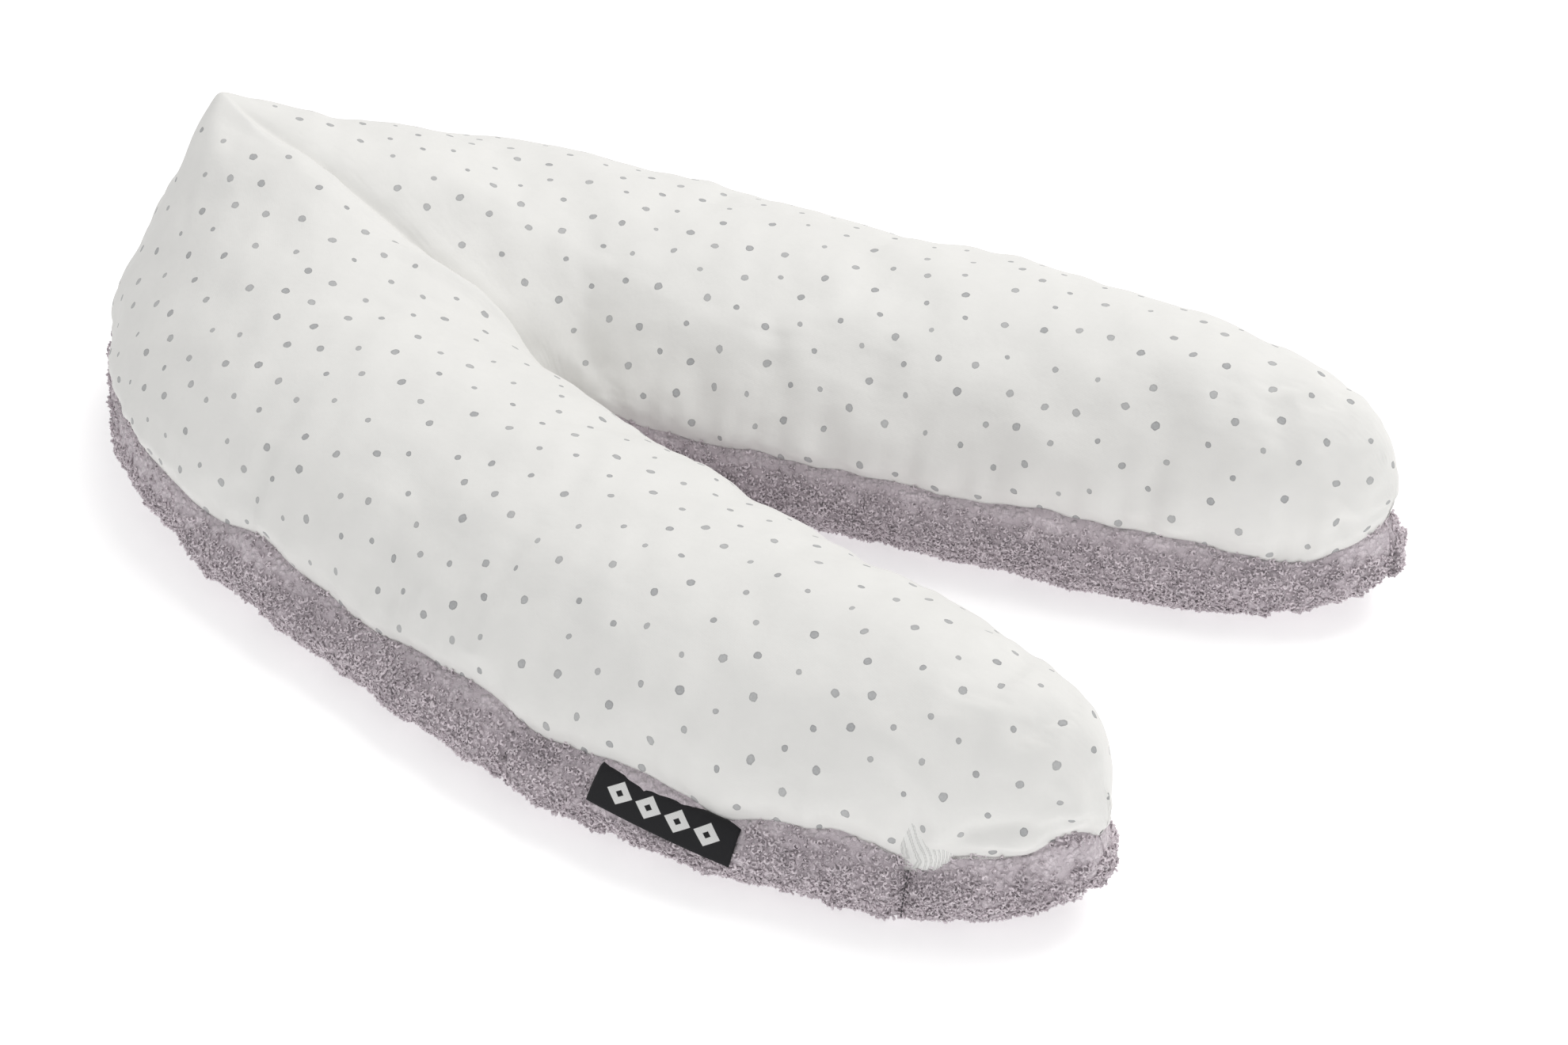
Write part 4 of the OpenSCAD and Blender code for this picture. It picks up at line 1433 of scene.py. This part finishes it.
@dataclass
class Pile:
    """The fleece's curly locks, grown on its sides."""

    density: float = 150000.0
    radius: float = 0.0017
    thickness: float = 0.00072
    rise: float = 0.0024
    seed: int = 7
    lowest: float = 0.0003
    curl_end: float = 0.0006
    lean: float = 0.75
    fold_half: float = 0.013
    split_x: float = 0.08
    label_station: float = 0.710

    def tree(self, finish: bpy.types.Material) -> GeometryTree:
        """The geometry tree that grows locks on a mesh, where its "growth" attribute is above 0.

        Args:
            finish: the locks' material.

        Returns:
            The tree, with its sizes as named inputs.
        """
        sizes = {"Density": self.density, "Radius": self.radius, "Thickness": self.thickness, "Rise": self.rise}
        growing = GeometryTree("grow pile", {**sizes, "Seed": self.seed})
        n, source = growing.nodes, growing.source
        spiral = n.add("GeometryNodeCurveSpiral", {
            "Resolution": 5, "Rotations": 0.85, "Start Radius": source["Radius"], "End Radius": self.curl_end,
            "Height": source["Rise"],
        }).outputs[0]
        share = n.add("GeometryNodeSplineParameter").outputs["Factor"]
        # The share along each lock, kept as "tip"; the lock finish paints shade at the root with it.
        held = self.stored(n, spiral, "tip", share)
        profile = n.add("GeometryNodeCurvePrimitiveCircle", {"Resolution": 3, "Radius": source["Thickness"]}).outputs[0]
        lock = n.add("GeometryNodeCurveToMesh", {"Curve": held, "Profile Curve": profile, "Fill Caps": True}).outputs[0]
        lock = n.add("GeometryNodeSetShadeSmooth", {"Geometry": lock}).outputs[0]
        growth = n.add("GeometryNodeInputNamedAttribute", {"Name": "growth"}, data_type="FLOAT").outputs[0]
        density = n.math("MULTIPLY", growth, source["Density"])
        spread = n.add("GeometryNodeDistributePointsOnFaces", {
            "Mesh": source["Geometry"], "Density": density, "Seed": source["Seed"],
        }).outputs
        most = (self.lean, self.lean, math.pi)
        lean = n.add("FunctionNodeRandomValue", {
            0: tuple(-angle for angle in most), 1: most, "Seed": source["Seed"],
        }, data_type="FLOAT_VECTOR").outputs[0]
        turn = n.add("FunctionNodeRotateRotation", {0: spread["Rotation"], 1: lean}, rotation_space="LOCAL").outputs[0]
        size, shade = (
            n.add("FunctionNodeRandomValue", {
                2: low, 3: high, "Seed": n.math("ADD", source["Seed"], step),
            }, data_type="FLOAT").outputs[1]
            for low, high, step in ((0.72, 1.30, 1), (0.0, 1.0, 2))
        )
        points = self.stored(n, spread["Points"], "shade", shade)
        growing.repeat({"Points": points, "Instance": lock, "Rotation": turn, "Scale": size}, finish)
        return growing

    def stored(self, n: NodeBuilder, geometry: Socket, name: str, value: Socket) -> Socket:
        """Keeps a number for each point as a named attribute."""
        return n.add("GeometryNodeStoreNamedAttribute", {
            "Geometry": geometry, "Name": name, "Value": value,
        }, data_type="FLOAT", domain="POINT").outputs[0]

    def clear_of_zip_and_labels(self, places: Points, form: PillowForm) -> Points:
        """0 where the zip's hems or a label lie on the fleece, and 1 elsewhere."""
        a = math.radians(ZIP_ANGLE)
        along = (places[:, :2] - np.array(ZIP_MIDDLE[:2])) @ np.array([math.cos(a), math.sin(a)])
        beside = np.abs((places[:, :2] - np.array(ZIP_MIDDLE[:2])) @ np.array([-math.sin(a), math.cos(a)]))
        under = (np.abs(along) < 0.146) & (beside < 0.03) & (places[:, 2] > 0.0475)
        for arm, width, height in ((Arm.FRONT_SIDE, 0.102, 0.027), (Arm.REAR_SIDE, 0.037, 0.048)):
            placing = form.outer_frame(self.label_station, arm)
            gap = places - np.array(placing.translation)
            run = gap @ np.array(placing.col[0][:3])
            out = gap @ np.array(placing.col[1][:3])
            under |= (np.abs(run) < width / 2) & (np.abs(out) < 0.04) & (places[:, 2] > 0.060 - height)
        return 1.0 - under

    def grow(
        self, name: str, host: bpy.types.Object, tree: GeometryTree, finish: bpy.types.Material, growth: Points,
    ) -> bpy.types.Object:
        """Grows locks where growth is above 0.

        Args:
            name: the new piece's name.
            host: the mesh that the locks grow on.
            tree: the geometry tree.
            finish: the locks' material.
            growth: a share of the full density for each of the host's vertices.

        Returns:
            The locks as a plain mesh.
        """
        piece = add_object(name, host.data.copy())
        piece.data.name = name
        piece.data.attributes.new("growth", "FLOAT", "POINT").data.foreach_set("value", growth.astype(np.float32))
        tree.run(piece)
        give_material(piece, finish)
        places = coordinates(piece.data)
        places[:, 2] = np.maximum(places[:, 2], self.lowest)
        move_vertices(piece.data, places)
        return piece

    def build(self, base: bpy.types.Object, seam: SeamLine, finish: bpy.types.Material) -> list[bpy.types.Object]:
        """Grows the locks on the base's sides, one piece for each stretch.

        Args:
            base: the fleece base.
            seam: the seam, from which sides are told apart.
            finish: the locks' material.

        Returns:
            The pieces, split where each stays light enough.
        """
        tree = self.tree(finish)
        places, out = coordinates(base.data), normals(base.data)
        found, away = seam.nearest(places)
        outer = seam.outer_side[found]
        side = smoothstep(-0.97, -0.75, out[:, 2]) * smoothstep(0.002, 0.007, places[:, 2])
        side *= smoothstep(0.0035, 0.010, away) * (0.25 + 0.75 * smoothstep(0.006, 0.016, away))
        side *= self.clear_of_zip_and_labels(places, seam.form)
        front, rear = places[:, 1] < -self.fold_half, places[:, 1] > self.fold_half
        near = places[:, 0] < self.split_x
        pieces = []
        for name, chosen in (
            ("pile_front_near", front & outer & near),
            ("pile_front_far", front & outer & ~near),
            ("pile_front_inside", front & ~outer),
            ("pile_rear_near", rear & outer & near),
            ("pile_rear_far", rear & outer & ~near),
            ("pile_rear_inside", rear & ~outer),
            ("pile_fold", ~front & ~rear & outer),
        ):
            pieces.append(self.grow(name, base, tree, finish, side * chosen))
        return pieces


# --------------------------------------------------------------------------------------------------
# The inner cushion


@dataclass
class InnerCushion:
    """The cushion inside the cover: filling in a thin sewn casing."""

    cover: Cover
    lump: float = 0.0016

    def layer(self, name: str, layer: Layer, lump_size: float, seed: int) -> bpy.types.Object:
        """One closed layer, pressed in a little by lumps so that it stays inside the next one out.

        Args:
            name: the piece's name.
            layer: which layer.
            lump_size: distance between lumps, in metres.
            seed: the lumps' seed.

        Returns:
            The piece.
        """
        piece = self.cover.form.closed_mesh(name, layer, 70, 40, 20)
        refine(piece)
        places, out = coordinates(piece.data), normals(piece.data)
        push = -self.lump * (0.5 + 0.5 * np.clip(ripple(places, lump_size, seed), -1, 1))
        push *= smoothstep(0.014, 0.030, np.abs(places[:, 1]) + 0.2 * np.abs(places[:, 2] - 0.2))
        move_vertices(piece.data, places + out * push[:, None])
        self.cover.lead(piece)
        shade_smooth(piece)
        return piece

    def build(self, finishes: Finishes) -> list[bpy.types.Object]:
        casing = self.layer("inner_casing", Layer.CASING, 0.05, 61)
        give_material(casing, finishes.casing)
        follow_fold(casing)
        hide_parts("casing_top_front", "casing_top_rear", "casing_base_front", "casing_base_rear")
        filling = self.layer("filling", Layer.FILLING, 0.03, 62)
        give_material(filling, finishes.wadding)
        follow_fold(filling)
        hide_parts("filling_front", "filling_rear")
        return [casing, filling]


# --------------------------------------------------------------------------------------------------
# Seams, stitches and labels


class Stitching:
    """Runs of single stitches, each a small bar of thread along a path."""

    def __init__(self, thread: bpy.types.Material) -> None:
        """Builds the geometry tree.

        Args:
            thread: the material of the stitches.
        """
        self.sewing = GeometryTree(f"stitch {thread.name}", {"Pitch": 0.003, "Length": 0.0021, "Thickness": 0.0005})
        n, source = self.sewing.nodes, self.sewing.source
        path = n.add("GeometryNodeMeshToCurve", {"Mesh": source["Geometry"]}).outputs[0]
        marks = n.add("GeometryNodeCurveToPoints", {"Curve": path, "Length": source["Pitch"]}, mode="LENGTH").outputs
        bar = n.add("GeometryNodeMeshUVSphere", {"Segments": 6, "Rings": 5, "Radius": 0.5}).outputs[0]
        thickness, length = source["Thickness"], source["Length"]
        size = n.add("ShaderNodeCombineXYZ", {0: thickness, 1: thickness, 2: length}).outputs[0]
        bar = n.add("GeometryNodeTransform", {"Geometry": bar, "Scale": size}).outputs[0]
        bar = n.add("GeometryNodeSetShadeSmooth", {"Geometry": bar}).outputs[0]
        turned = n.add("FunctionNodeAlignRotationToVector", {"Vector": marks["Tangent"]}, axis="Z").outputs[0]
        self.sewing.repeat({"Points": marks["Points"], "Instance": bar, "Rotation": turned}, thread)

    def sew(self, name: str, path: Points, pitch: float, length: float, thickness: float) -> bpy.types.Object:
        """Sews along a path.

        Args:
            name: the new piece's name.
            path: an N by 3 run of points.
            pitch: distance from stitch to stitch, in metres.
            length: a stitch's length.
            thickness: the thread's thickness.

        Returns:
            The stitches as a plain mesh.
        """
        mesh = bpy.data.meshes.new(name)
        mesh.from_pydata([tuple(p) for p in path], [(i, i + 1) for i in range(len(path) - 1)], [])
        piece = add_object(name, mesh)
        self.sewing.run(piece, {"Pitch": pitch, "Length": length, "Thickness": thickness})
        return piece


@dataclass
class SeamAllowance:
    """The overlocked edge of both panels, which stands inward and down behind the seam."""

    cover: Cover
    depth: float = 0.0085
    height: float = 0.0076
    thickness: float = 0.0012

    def build(self, finishes: Finishes) -> bpy.types.Object:
        """Makes the ribbon along both seams, with the overlock's small waves."""
        vertices, faces = [], []
        fine = np.linspace(0.0, 0.985, 520)
        form = self.cover.form
        outer = form.outer(fine, self.depth)
        inner = form.inner(fine, self.depth)
        inner = inner[inner[:, 1] > 0.014]
        runs = [np.vstack([outer[:0:-1] * [1, -1], outer]), inner, inner * [1, -1]]
        for run in runs:
            start = len(vertices)
            wave = 0.00035 * np.sin(np.arange(len(run)) * 2.1)
            for (x, y), lift, wander in zip(run, wave, self.cover.lift_at(run)):
                for share in (0.0, 0.5, 1.0):
                    z = form.seam_height + wander - 0.0002 - self.height * share + lift * share
                    vertices.append((x, y, z))
            faces.extend(tuple(start + corner for corner in quad) for quad in grid_faces(len(run) - 1, 3))
        ribbon = mesh_object("seam_allowance", vertices, faces)
        thicken(ribbon, self.thickness, 0)
        give_material(ribbon, finishes.thread)
        follow_fold(ribbon)
        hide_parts("seam_allowance_front", "seam_allowance_rear")
        return ribbon


@dataclass
class HangingLabel:
    """A label sewn into the outer seam, hanging over the fleece."""

    form: PillowForm
    name: str
    arm: Arm
    width: float
    height: float
    thickness: float
    station: float = 0.712
    lean: float = 48.0
    sewn_in: float = 0.004
    tilt: float = 0.0
    below_seam: float = 0.0012

    def point(self, across: float, down: float, lift: Callable[[Points], Points]) -> Vector:
        """A point of the label, from shares across and down."""
        middle = self.form.outer_frame(self.station, self.arm)
        ends = [self.form.outer_frame(self.station + way * 0.04, self.arm).translation for way in (-1, 1)]
        speed = (ends[1] - ends[0]).length / 0.08
        placing = self.form.outer_frame(self.station + (across - 0.5) * self.width / speed, self.arm)
        left, right = (float(v) for v in lift(np.array([end[:2] for end in ends])))
        rise = left + (right - left + self.tilt) * across
        lean = math.radians(self.lean)
        run = down * self.height - self.sewn_in
        out = run if run < 0 else run * math.sin(lean) + 0.0012 * math.sin(math.pi * down)
        drop = max(0.0, run) * math.cos(lean)
        place = placing @ Vector((0, out, 0))
        return Vector((place.x, place.y, middle.translation.z + rise - self.below_seam - drop))

    def build(self, finish: bpy.types.Material, lift: Callable[[Points], Points], node: str) -> bpy.types.Object:
        """Makes the label.

        Args:
            finish: its material.
            lift: how far the seam wanders at a place in plan.
            node: the CAD node that it stands for.

        Returns:
            The label.
        """
        columns, rows = 46, 16
        vertices = [self.point(i / columns, j / rows, lift) for j in range(rows + 1) for i in range(columns + 1)]
        faces = grid_faces(rows, columns + 1)
        if self.arm is Arm.FRONT_SIDE:
            faces = [quad[::-1] for quad in faces]
        label = mesh_object(self.name, vertices, faces)
        out = np.array(self.form.outer_frame(self.station, self.arm).col[1][:3])
        if normals(label.data).mean(axis=0) @ out < 0:
            label.data.flip_normals()
        layer = label.data.uv_layers.new(name="UVMap").data
        for polygon in label.data.polygons:
            for corner in polygon.loop_indices:
                index = label.data.loops[corner].vertex_index
                across, down = index % (columns + 1) / columns, index // (columns + 1) / rows
                layer[corner].uv = (across if self.arm is Arm.FRONT_SIDE else 1 - across, 1 - down)
        thicken(label, self.thickness, -1)
        give_material(label, finish)
        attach(label, FRONT if self.arm is Arm.FRONT_SIDE else REAR)
        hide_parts(node)
        return label


# --------------------------------------------------------------------------------------------------
# The zip


@dataclass
class Zip:
    """A nylon coil zip in the rear arm's outer seam. X runs along it, Y out of the cover, Z up."""

    length: float = 0.264
    coil_length: float = 0.252
    pitch: float = 0.0014
    wire: float = 0.00034
    tape_low: float = 0.0007
    tape_high: float = 0.0127
    tape_out: float = 0.0018
    tape_thickness: float = 0.0006
    slider_at: float = 0.1205
    hem_from: float = 0.0046
    hem_to: float = 0.0175
    hem_half: float = 0.146

    def placing(self) -> Matrix:
        """From the zip's own frame to the pillow's."""
        return Matrix.Translation(Vector(ZIP_MIDDLE)) @ Matrix.Rotation(math.radians(ZIP_ANGLE), 4, "Z")

    def finish_piece(
        self, piece: bpy.types.Object, finish: bpy.types.Material, body: str, nodes: Sequence[str] = (),
    ) -> bpy.types.Object:
        """Places a piece made in the zip's frame, gives it its finish and body, and hides the CAD parts that it stands
        for.
        """
        piece.data.transform(self.placing())
        piece.data.update()
        give_material(piece, finish)
        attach(piece, body)
        if nodes:
            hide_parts(*nodes)
        return piece

    def box(self, mesh: bmesh.types.BMesh, low: tuple[float, float, float], high: tuple[float, float, float]) -> None:
        """Adds a box between two corners, in millimetres."""
        made = bmesh.ops.create_cube(mesh, size=1.0)["verts"]
        for vertex in made:
            vertex.co = Vector([0.001 * (a if c < 0 else b) for c, a, b in zip(vertex.co, low, high)])

    def rounded(self, name: str, boxes: Sequence[tuple[tuple, tuple]], width: float) -> bpy.types.Object:
        """A piece of several boxes with rounded edges, all in millimetres but the rounding."""
        mesh = bmesh.new()
        for low, high in boxes:
            self.box(mesh, low, high)
        data = bpy.data.meshes.new(name)
        mesh.to_mesh(data)
        mesh.free()
        piece = add_object(name, data)
        round_edges(piece, width, 3)
        return piece

    def tape(self, name: str, way: int) -> bpy.types.Object:
        """One tape, with a corded inner edge and a faint curl along its outer edge."""
        columns, heights = 132, (0.0, 0.06, 0.12, 0.3, 0.6, 0.85, 1.0)
        vertices = []
        for i in range(columns + 1):
            x = (i / columns - 0.5) * self.length
            for share in heights:
                cord = 0.0003 if share < 0.1 else 0.0
                curl = 0.00025 * math.sin(x * 190) * share
                z = self.tape_low + (self.tape_high - self.tape_low) * share
                vertices.append((x, self.tape_out + self.tape_thickness / 2 + cord + curl, way * z))
        piece = mesh_object(name, vertices, grid_faces(columns, len(heights)))
        thicken(piece, self.tape_thickness, 0)
        return piece

    def coil_tree(self, finish: bpy.types.Material) -> GeometryTree:
        """The geometry tree that winds a coil: hooked teeth along a line.

        Args:
            finish: the coil's material.

        Returns:
            The tree.
        """
        winding = GeometryTree("zip coil", {
            "Length": self.coil_length, "Pitch": self.pitch, "Wire": self.wire, "Shift": 0.0, "Side": 1.0,
        })
        n, source = winding.nodes, winding.source
        count = n.math("DIVIDE", source["Length"], source["Pitch"])
        first = n.math("ADD", n.math("MULTIPLY", source["Length"], -0.5), source["Shift"])
        first = n.add("ShaderNodeCombineXYZ", {0: first}).outputs[0]
        apart = n.add("ShaderNodeCombineXYZ", {0: source["Pitch"]}).outputs[0]
        row = n.add(
            "GeometryNodeMeshLine", {"Count": count, "Start Location": first, "Offset": apart}, mode="OFFSET",
        ).outputs[0]
        loop = n.add("GeometryNodeCurveArc", {
            "Resolution": 9, "Radius": 0.00085, "Start Angle": math.radians(-150), "Sweep Angle": math.radians(300),
        }).outputs[0]
        ring = n.add("GeometryNodeCurvePrimitiveCircle", {"Resolution": 5, "Radius": source["Wire"]}).outputs[0]
        tooth = n.add("GeometryNodeCurveToMesh", {"Curve": loop, "Profile Curve": ring, "Fill Caps": True}).outputs[0]
        tooth = n.add("GeometryNodeTransform", {
            "Geometry": tooth, "Rotation": (0.0, math.radians(90), 0.0), "Scale": (1.18, 0.70, 1.0),
        }).outputs[0]
        upright = n.add("ShaderNodeCombineXYZ", {0: 1.0, 1: 1.0, 2: source["Side"]}).outputs[0]
        tooth = n.add("GeometryNodeSetShadeSmooth", {"Geometry": tooth}).outputs[0]
        winding.repeat({"Points": row, "Instance": tooth, "Scale": upright}, finish)
        return winding

    def coil(self, name: str, way: int, winding: GeometryTree) -> bpy.types.Object:
        """One coil of hooked teeth, half a pitch off the other so that they interlock."""
        piece = mesh_object(name, [(0, 0, 0)], [])
        winding.run(piece, {"Shift": 0.0 if way > 0 else self.pitch / 2, "Side": float(way)})
        piece.data.transform(Matrix.Translation((0, 0.0033, way * 0.00125)))
        core = self.rounded(f"{name}_core", [((-126, 2.5, 1.3), (126, 2.95, 2.3))], 0.0001)
        if way < 0:
            turn_over(core)
        mesh = bmesh.new()
        mesh.from_mesh(piece.data)
        mesh.from_mesh(core.data)
        bmesh.ops.recalc_face_normals(mesh, faces=mesh.faces[:])
        mesh.to_mesh(piece.data)
        mesh.free()
        bpy.data.objects.remove(core)
        shade_smooth(piece)
        return piece

    def slider(self) -> bpy.types.Object:
        """The slider: two wings joined by a post, side flanges, and the bridge that holds the tab."""
        c = 1000 * self.slider_at
        return self.rounded(
            "slider_body",
            [
                ((c - 5.4, 4.4, -3.7), (c + 5.4, 5.5, 3.7)),
                ((c - 5.4, 0.5, -3.7), (c + 5.4, 1.4, 3.7)),
                ((c + 3.6, 1.2, -0.6), (c + 5.2, 4.6, 0.6)),
                ((c - 5.2, 3.9, 3.0), (c + 2.0, 4.6, 3.7)),
                ((c - 5.2, 3.9, -3.7), (c + 2.0, 4.6, -3.0)),
                ((c - 3.6, 7.5, -1.15), (c + 3.6, 8.35, 1.15)),
                ((c - 3.6, 5.3, -1.15), (c - 2.5, 8.2, 1.15)),
                ((c + 2.5, 5.3, -1.15), (c + 3.6, 8.2, 1.15)),
            ],
            0.00034,
        )

    def pull_tab(self) -> bpy.types.Object:
        """The pull tab: two legs on a pin, a plate with a raised rim, and a round end with a hole."""
        c = 1000 * self.slider_at
        tab = self.rounded(
            "pull_tab_plate",
            [
                ((c - 6.4, 5.9, 1.6), (c + 0.5, 7.1, 2.75)),
                ((c - 6.4, 5.9, -2.75), (c + 0.5, 7.1, -1.6)),
                ((c - 0.55, 5.95, -2.6), (c + 0.55, 7.05, 2.6)),
                ((c - 18.5, 6.0, -2.75), (c - 5.0, 7.0, 2.75)),
                ((c - 17.0, 6.9, -1.9), (c - 7.5, 7.25, 1.9)),
            ],
            0.00028,
        )
        ring = bmesh.new()
        steps = 36
        loops = []
        for radius, y in (
            (0.0019, 0.0061), (0.0039, 0.0061), (0.0041, 0.0065), (0.0039, 0.0070), (0.0019, 0.0070), (0.0017, 0.0065),
        ):
            loops.append([
                ring.verts.new((0.001 * (c - 20) + radius * math.cos(a), y, radius * math.sin(a)))
                for a in np.linspace(0, 2 * math.pi, steps, endpoint=False)
            ])
        for near, far in zip(loops, loops[1:] + loops[:1]):
            for i in range(steps):
                ring.faces.new((near[i], near[(i + 1) % steps], far[(i + 1) % steps], far[i]))
        ring.from_mesh(tab.data)
        bmesh.ops.recalc_face_normals(ring, faces=ring.faces[:])
        ring.to_mesh(tab.data)
        ring.free()
        shade_smooth(tab)
        return tab

    def hem(self, name: str, way: int) -> bpy.types.Object:
        """The cover's turned edge over one tape: it rises from the cover, runs flat, and folds under."""
        section = (
            (self.hem_to, -0.0022), (self.hem_to - 0.0012, 0.0002), (self.hem_to - 0.0030, 0.0026),
            (self.hem_to - 0.0052, 0.0036), (0.0095, 0.0037), (0.0072, 0.0036), (0.0056, 0.0039),
            (self.hem_from, 0.0035), (self.hem_from + 0.0003, 0.0029), (0.0062, 0.0027),
        )
        columns = 150
        vertices = []
        for i in range(columns + 1):
            x = (i / columns - 0.5) * 2 * self.hem_half
            ends = float(smoothstep(self.hem_half, self.hem_half - 0.014, np.array([abs(x)]))[0])
            for z, y in section:
                wave = 0.00035 * math.sin(x * 260 + 1.1 * way) + 0.0002 * math.sin(x * 611)
                height = y * ends - 0.0030 * (1 - ends) + wave * (y > 0.001)
                inner = z - (1 - ends) * (z - 0.0006) * (0.9 if z < 0.012 else 0.25)
                vertices.append((x, height, way * (inner + 0.0003 * math.sin(x * 120 + z * 300))))
        piece = mesh_object(name, vertices, grid_faces(columns, len(section)))
        if normals(piece.data)[:, 1].mean() < 0:
            piece.data.flip_normals()
        refine(piece)
        shade_smooth(piece)
        return piece

    def build(self, finishes: Finishes, stitching: Stitching) -> list[bpy.types.Object]:
        """Makes every piece of the zip and its hems.

        Args:
            finishes: the materials.
            stitching: sews the topstitching.

        Returns:
            The pieces.
        """
        pieces = []
        for level, way in (("upper", 1), ("lower", -1)):
            tape = self.finish_piece(self.tape(f"tape_{level}", way), finishes.tape, REAR, [f"zip_tape_{level}"])
            pieces.append(tape)
        winding = self.coil_tree(finishes.coil)
        for level, way in (("upper", 1), ("lower", -1)):
            coil = self.coil(f"coil_{level}", way, winding)
            pieces.append(self.finish_piece(coil, finishes.coil, REAR, [f"zip_coil_{level}"]))
            boxes = [((127.0, 2.4, 0.7), (129.0, 4.2, 3.1)), ((127.3, 1.4, 1.2), (128.7, 2.6, 2.6))]
            stop = self.rounded(f"top_stop_{level}", boxes, 0.0003)
            if way < 0:
                turn_over(stop)
            pieces.append(self.finish_piece(stop, finishes.metal, REAR, [f"zip_top_stop_{level}"]))
        boxes = [((-129.0, 2.4, -3.1), (-127.0, 4.4, 3.1)), ((-128.7, 1.4, -2.5), (-127.3, 2.6, 2.5))]
        stop = self.rounded("bottom_stop", boxes, 0.0003)
        pieces.append(self.finish_piece(stop, finishes.metal, REAR, ["zip_bottom_stop"]))
        pieces.append(self.finish_piece(self.slider(), finishes.metal, SLIDER, ["zip_slider"]))
        pieces.append(self.finish_piece(self.pull_tab(), finishes.metal, PULL_TAB, ["zip_pull_tab"]))
        for level, way, cloth in (("upper", 1, finishes.cotton_edge), ("lower", -1, finishes.fleece)):
            pieces.append(self.finish_piece(self.hem(f"hem_{level}", way), cloth, REAR))
            run = np.linspace(-0.132, 0.132, 90)
            out = np.full(90, 0.00395) + 0.00035 * np.sin(run * 260 + 1.1 * way)
            path = np.column_stack([run, out, np.full(90, way * 0.0098)])
            sewn = stitching.sew(f"zip_stitches_{level}", path, 0.0031, 0.0023, 0.00055)
            pieces.append(self.finish_piece(sewn, finishes.topstitch, REAR))
        return pieces


# --------------------------------------------------------------------------------------------------
# Stage


@dataclass
class Studio:
    """A pale floor, soft light and the camera."""

    azimuth: float = 33.59
    elevation: float = 36.37
    distance: float = 2.2317
    lens: float = 82.1
    target: tuple[float, float, float] = (0.1104, -0.0271, 0.0669)
    lit_towards: tuple[float, float, float] = (0.0, 0.0, 0.1)
    floor_half: float = 9.0
    floor_drop: float = 0.0005
    floor_glow: float = 0.42
    sky_strength: float = 0.545

    def build(self) -> None:
        """Places the camera, the floor, the sky and the two lamps."""
        scene = bpy.context.scene
        az, el = math.radians(self.azimuth), math.radians(self.elevation)
        back = Vector((math.sin(az) * math.cos(el), -math.cos(az) * math.cos(el), math.sin(el)))
        data = bpy.data.cameras.new("camera")
        data.lens, data.sensor_width, data.clip_end = self.lens, 36.0, 60.0
        camera = add_object("camera", data)
        camera.location = Vector(self.target) + back * self.distance
        camera.rotation_euler = (-back).to_track_quat("-Z", "Y").to_euler()
        scene.camera = camera
        far = self.floor_half
        floor = mesh_object("floor", [(-far, -far, 0), (far, -far, 0), (far, far, 0), (-far, far, 0)], [(0, 1, 2, 3)])
        floor.location.z = -self.floor_drop
        paper = bpy.data.materials.new("white paper")
        paper.use_nodes = True
        shader = paper.node_tree.nodes["Principled BSDF"]
        shader.inputs["Base Color"].default_value = (0.90, 0.90, 0.90, 1)
        shader.inputs["Roughness"].default_value = 0.9
        shader.inputs["Emission Color"].default_value = (1, 1, 1, 1)
        shader.inputs["Emission Strength"].default_value = self.floor_glow
        give_material(floor, paper)
        world = bpy.data.worlds.new("sky")
        world.use_nodes = True
        sky = world.node_tree.nodes["Background"].inputs
        sky["Color"].default_value = (1.0, 1.0, 1.0, 1)
        sky["Strength"].default_value = self.sky_strength
        scene.world = world
        for name, place, size, power, colour in (
            ("key", (0.5, 1.3, 2.7), 2.4, 52.0, (1.0, 0.99, 0.975)),
            ("fill", (1.7, -2.3, 2.2), 2.4, 15.0, (0.98, 0.985, 1.0)),
        ):
            lamp = bpy.data.lights.new(name, "AREA")
            lamp.size, lamp.energy, lamp.color = size, power, colour
            light = add_object(name, lamp)
            light.location = place
            light.rotation_euler = (Vector(self.lit_towards) - Vector(place)).to_track_quat("-Z", "Y").to_euler()
        scene.view_settings.view_transform = "Standard"


def main() -> None:
    """Builds the pillow from the inside out and sets it in the studio."""
    logging.basicConfig(level=logging.INFO, format="%(name)s: %(message)s")
    form = PillowForm()
    seam = SeamLine(form)
    finishes = Finishes()
    cover = Cover(form, seam)
    for piece in InnerCushion(cover).build(finishes):
        report(piece, "inner cushion")
    report(SeamAllowance(cover).build(finishes), "seam allowance")
    top, base = cover.build(finishes)
    stitching = Stitching(finishes.topstitch)
    for piece in Zip().build(finishes, stitching):
        report(piece, "zip")
    woven = HangingLabel(form, "label_woven", Arm.FRONT_SIDE, 0.092, 0.026, 0.0009, station=0.709, tilt=-0.0045)
    care = HangingLabel(form, "label_care", Arm.REAR_SIDE, 0.030, 0.044, 0.0004, lean=17.0)
    report(woven.build(finishes.label, cover.lift_at, "woven_label"), "label")
    report(care.build(finishes.satin, cover.lift_at, "care_label"), "label")
    pinch = Stitching(finishes.stitch).sew("pinch_stitches", cover.pinch_line(), 0.0042, 0.0030, 0.0011)
    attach(pinch, FRONT)
    locks = Pile().build(base, seam, finishes.lock)
    for piece, nodes in (
        (top, ("cover_top_front", "cover_top_rear")), (base, ("cover_base_front", "cover_base_rear")),
    ):
        follow_fold(piece)
        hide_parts(*nodes)
        report(piece, "cover")
    for piece in locks:
        if piece.name == "pile_fold":
            follow_fold(piece)
        else:
            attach(piece, FRONT if "front" in piece.name else REAR)
        report(piece, "fleece locks")
    Studio().build()


if __name__ == "__main__":
    main()
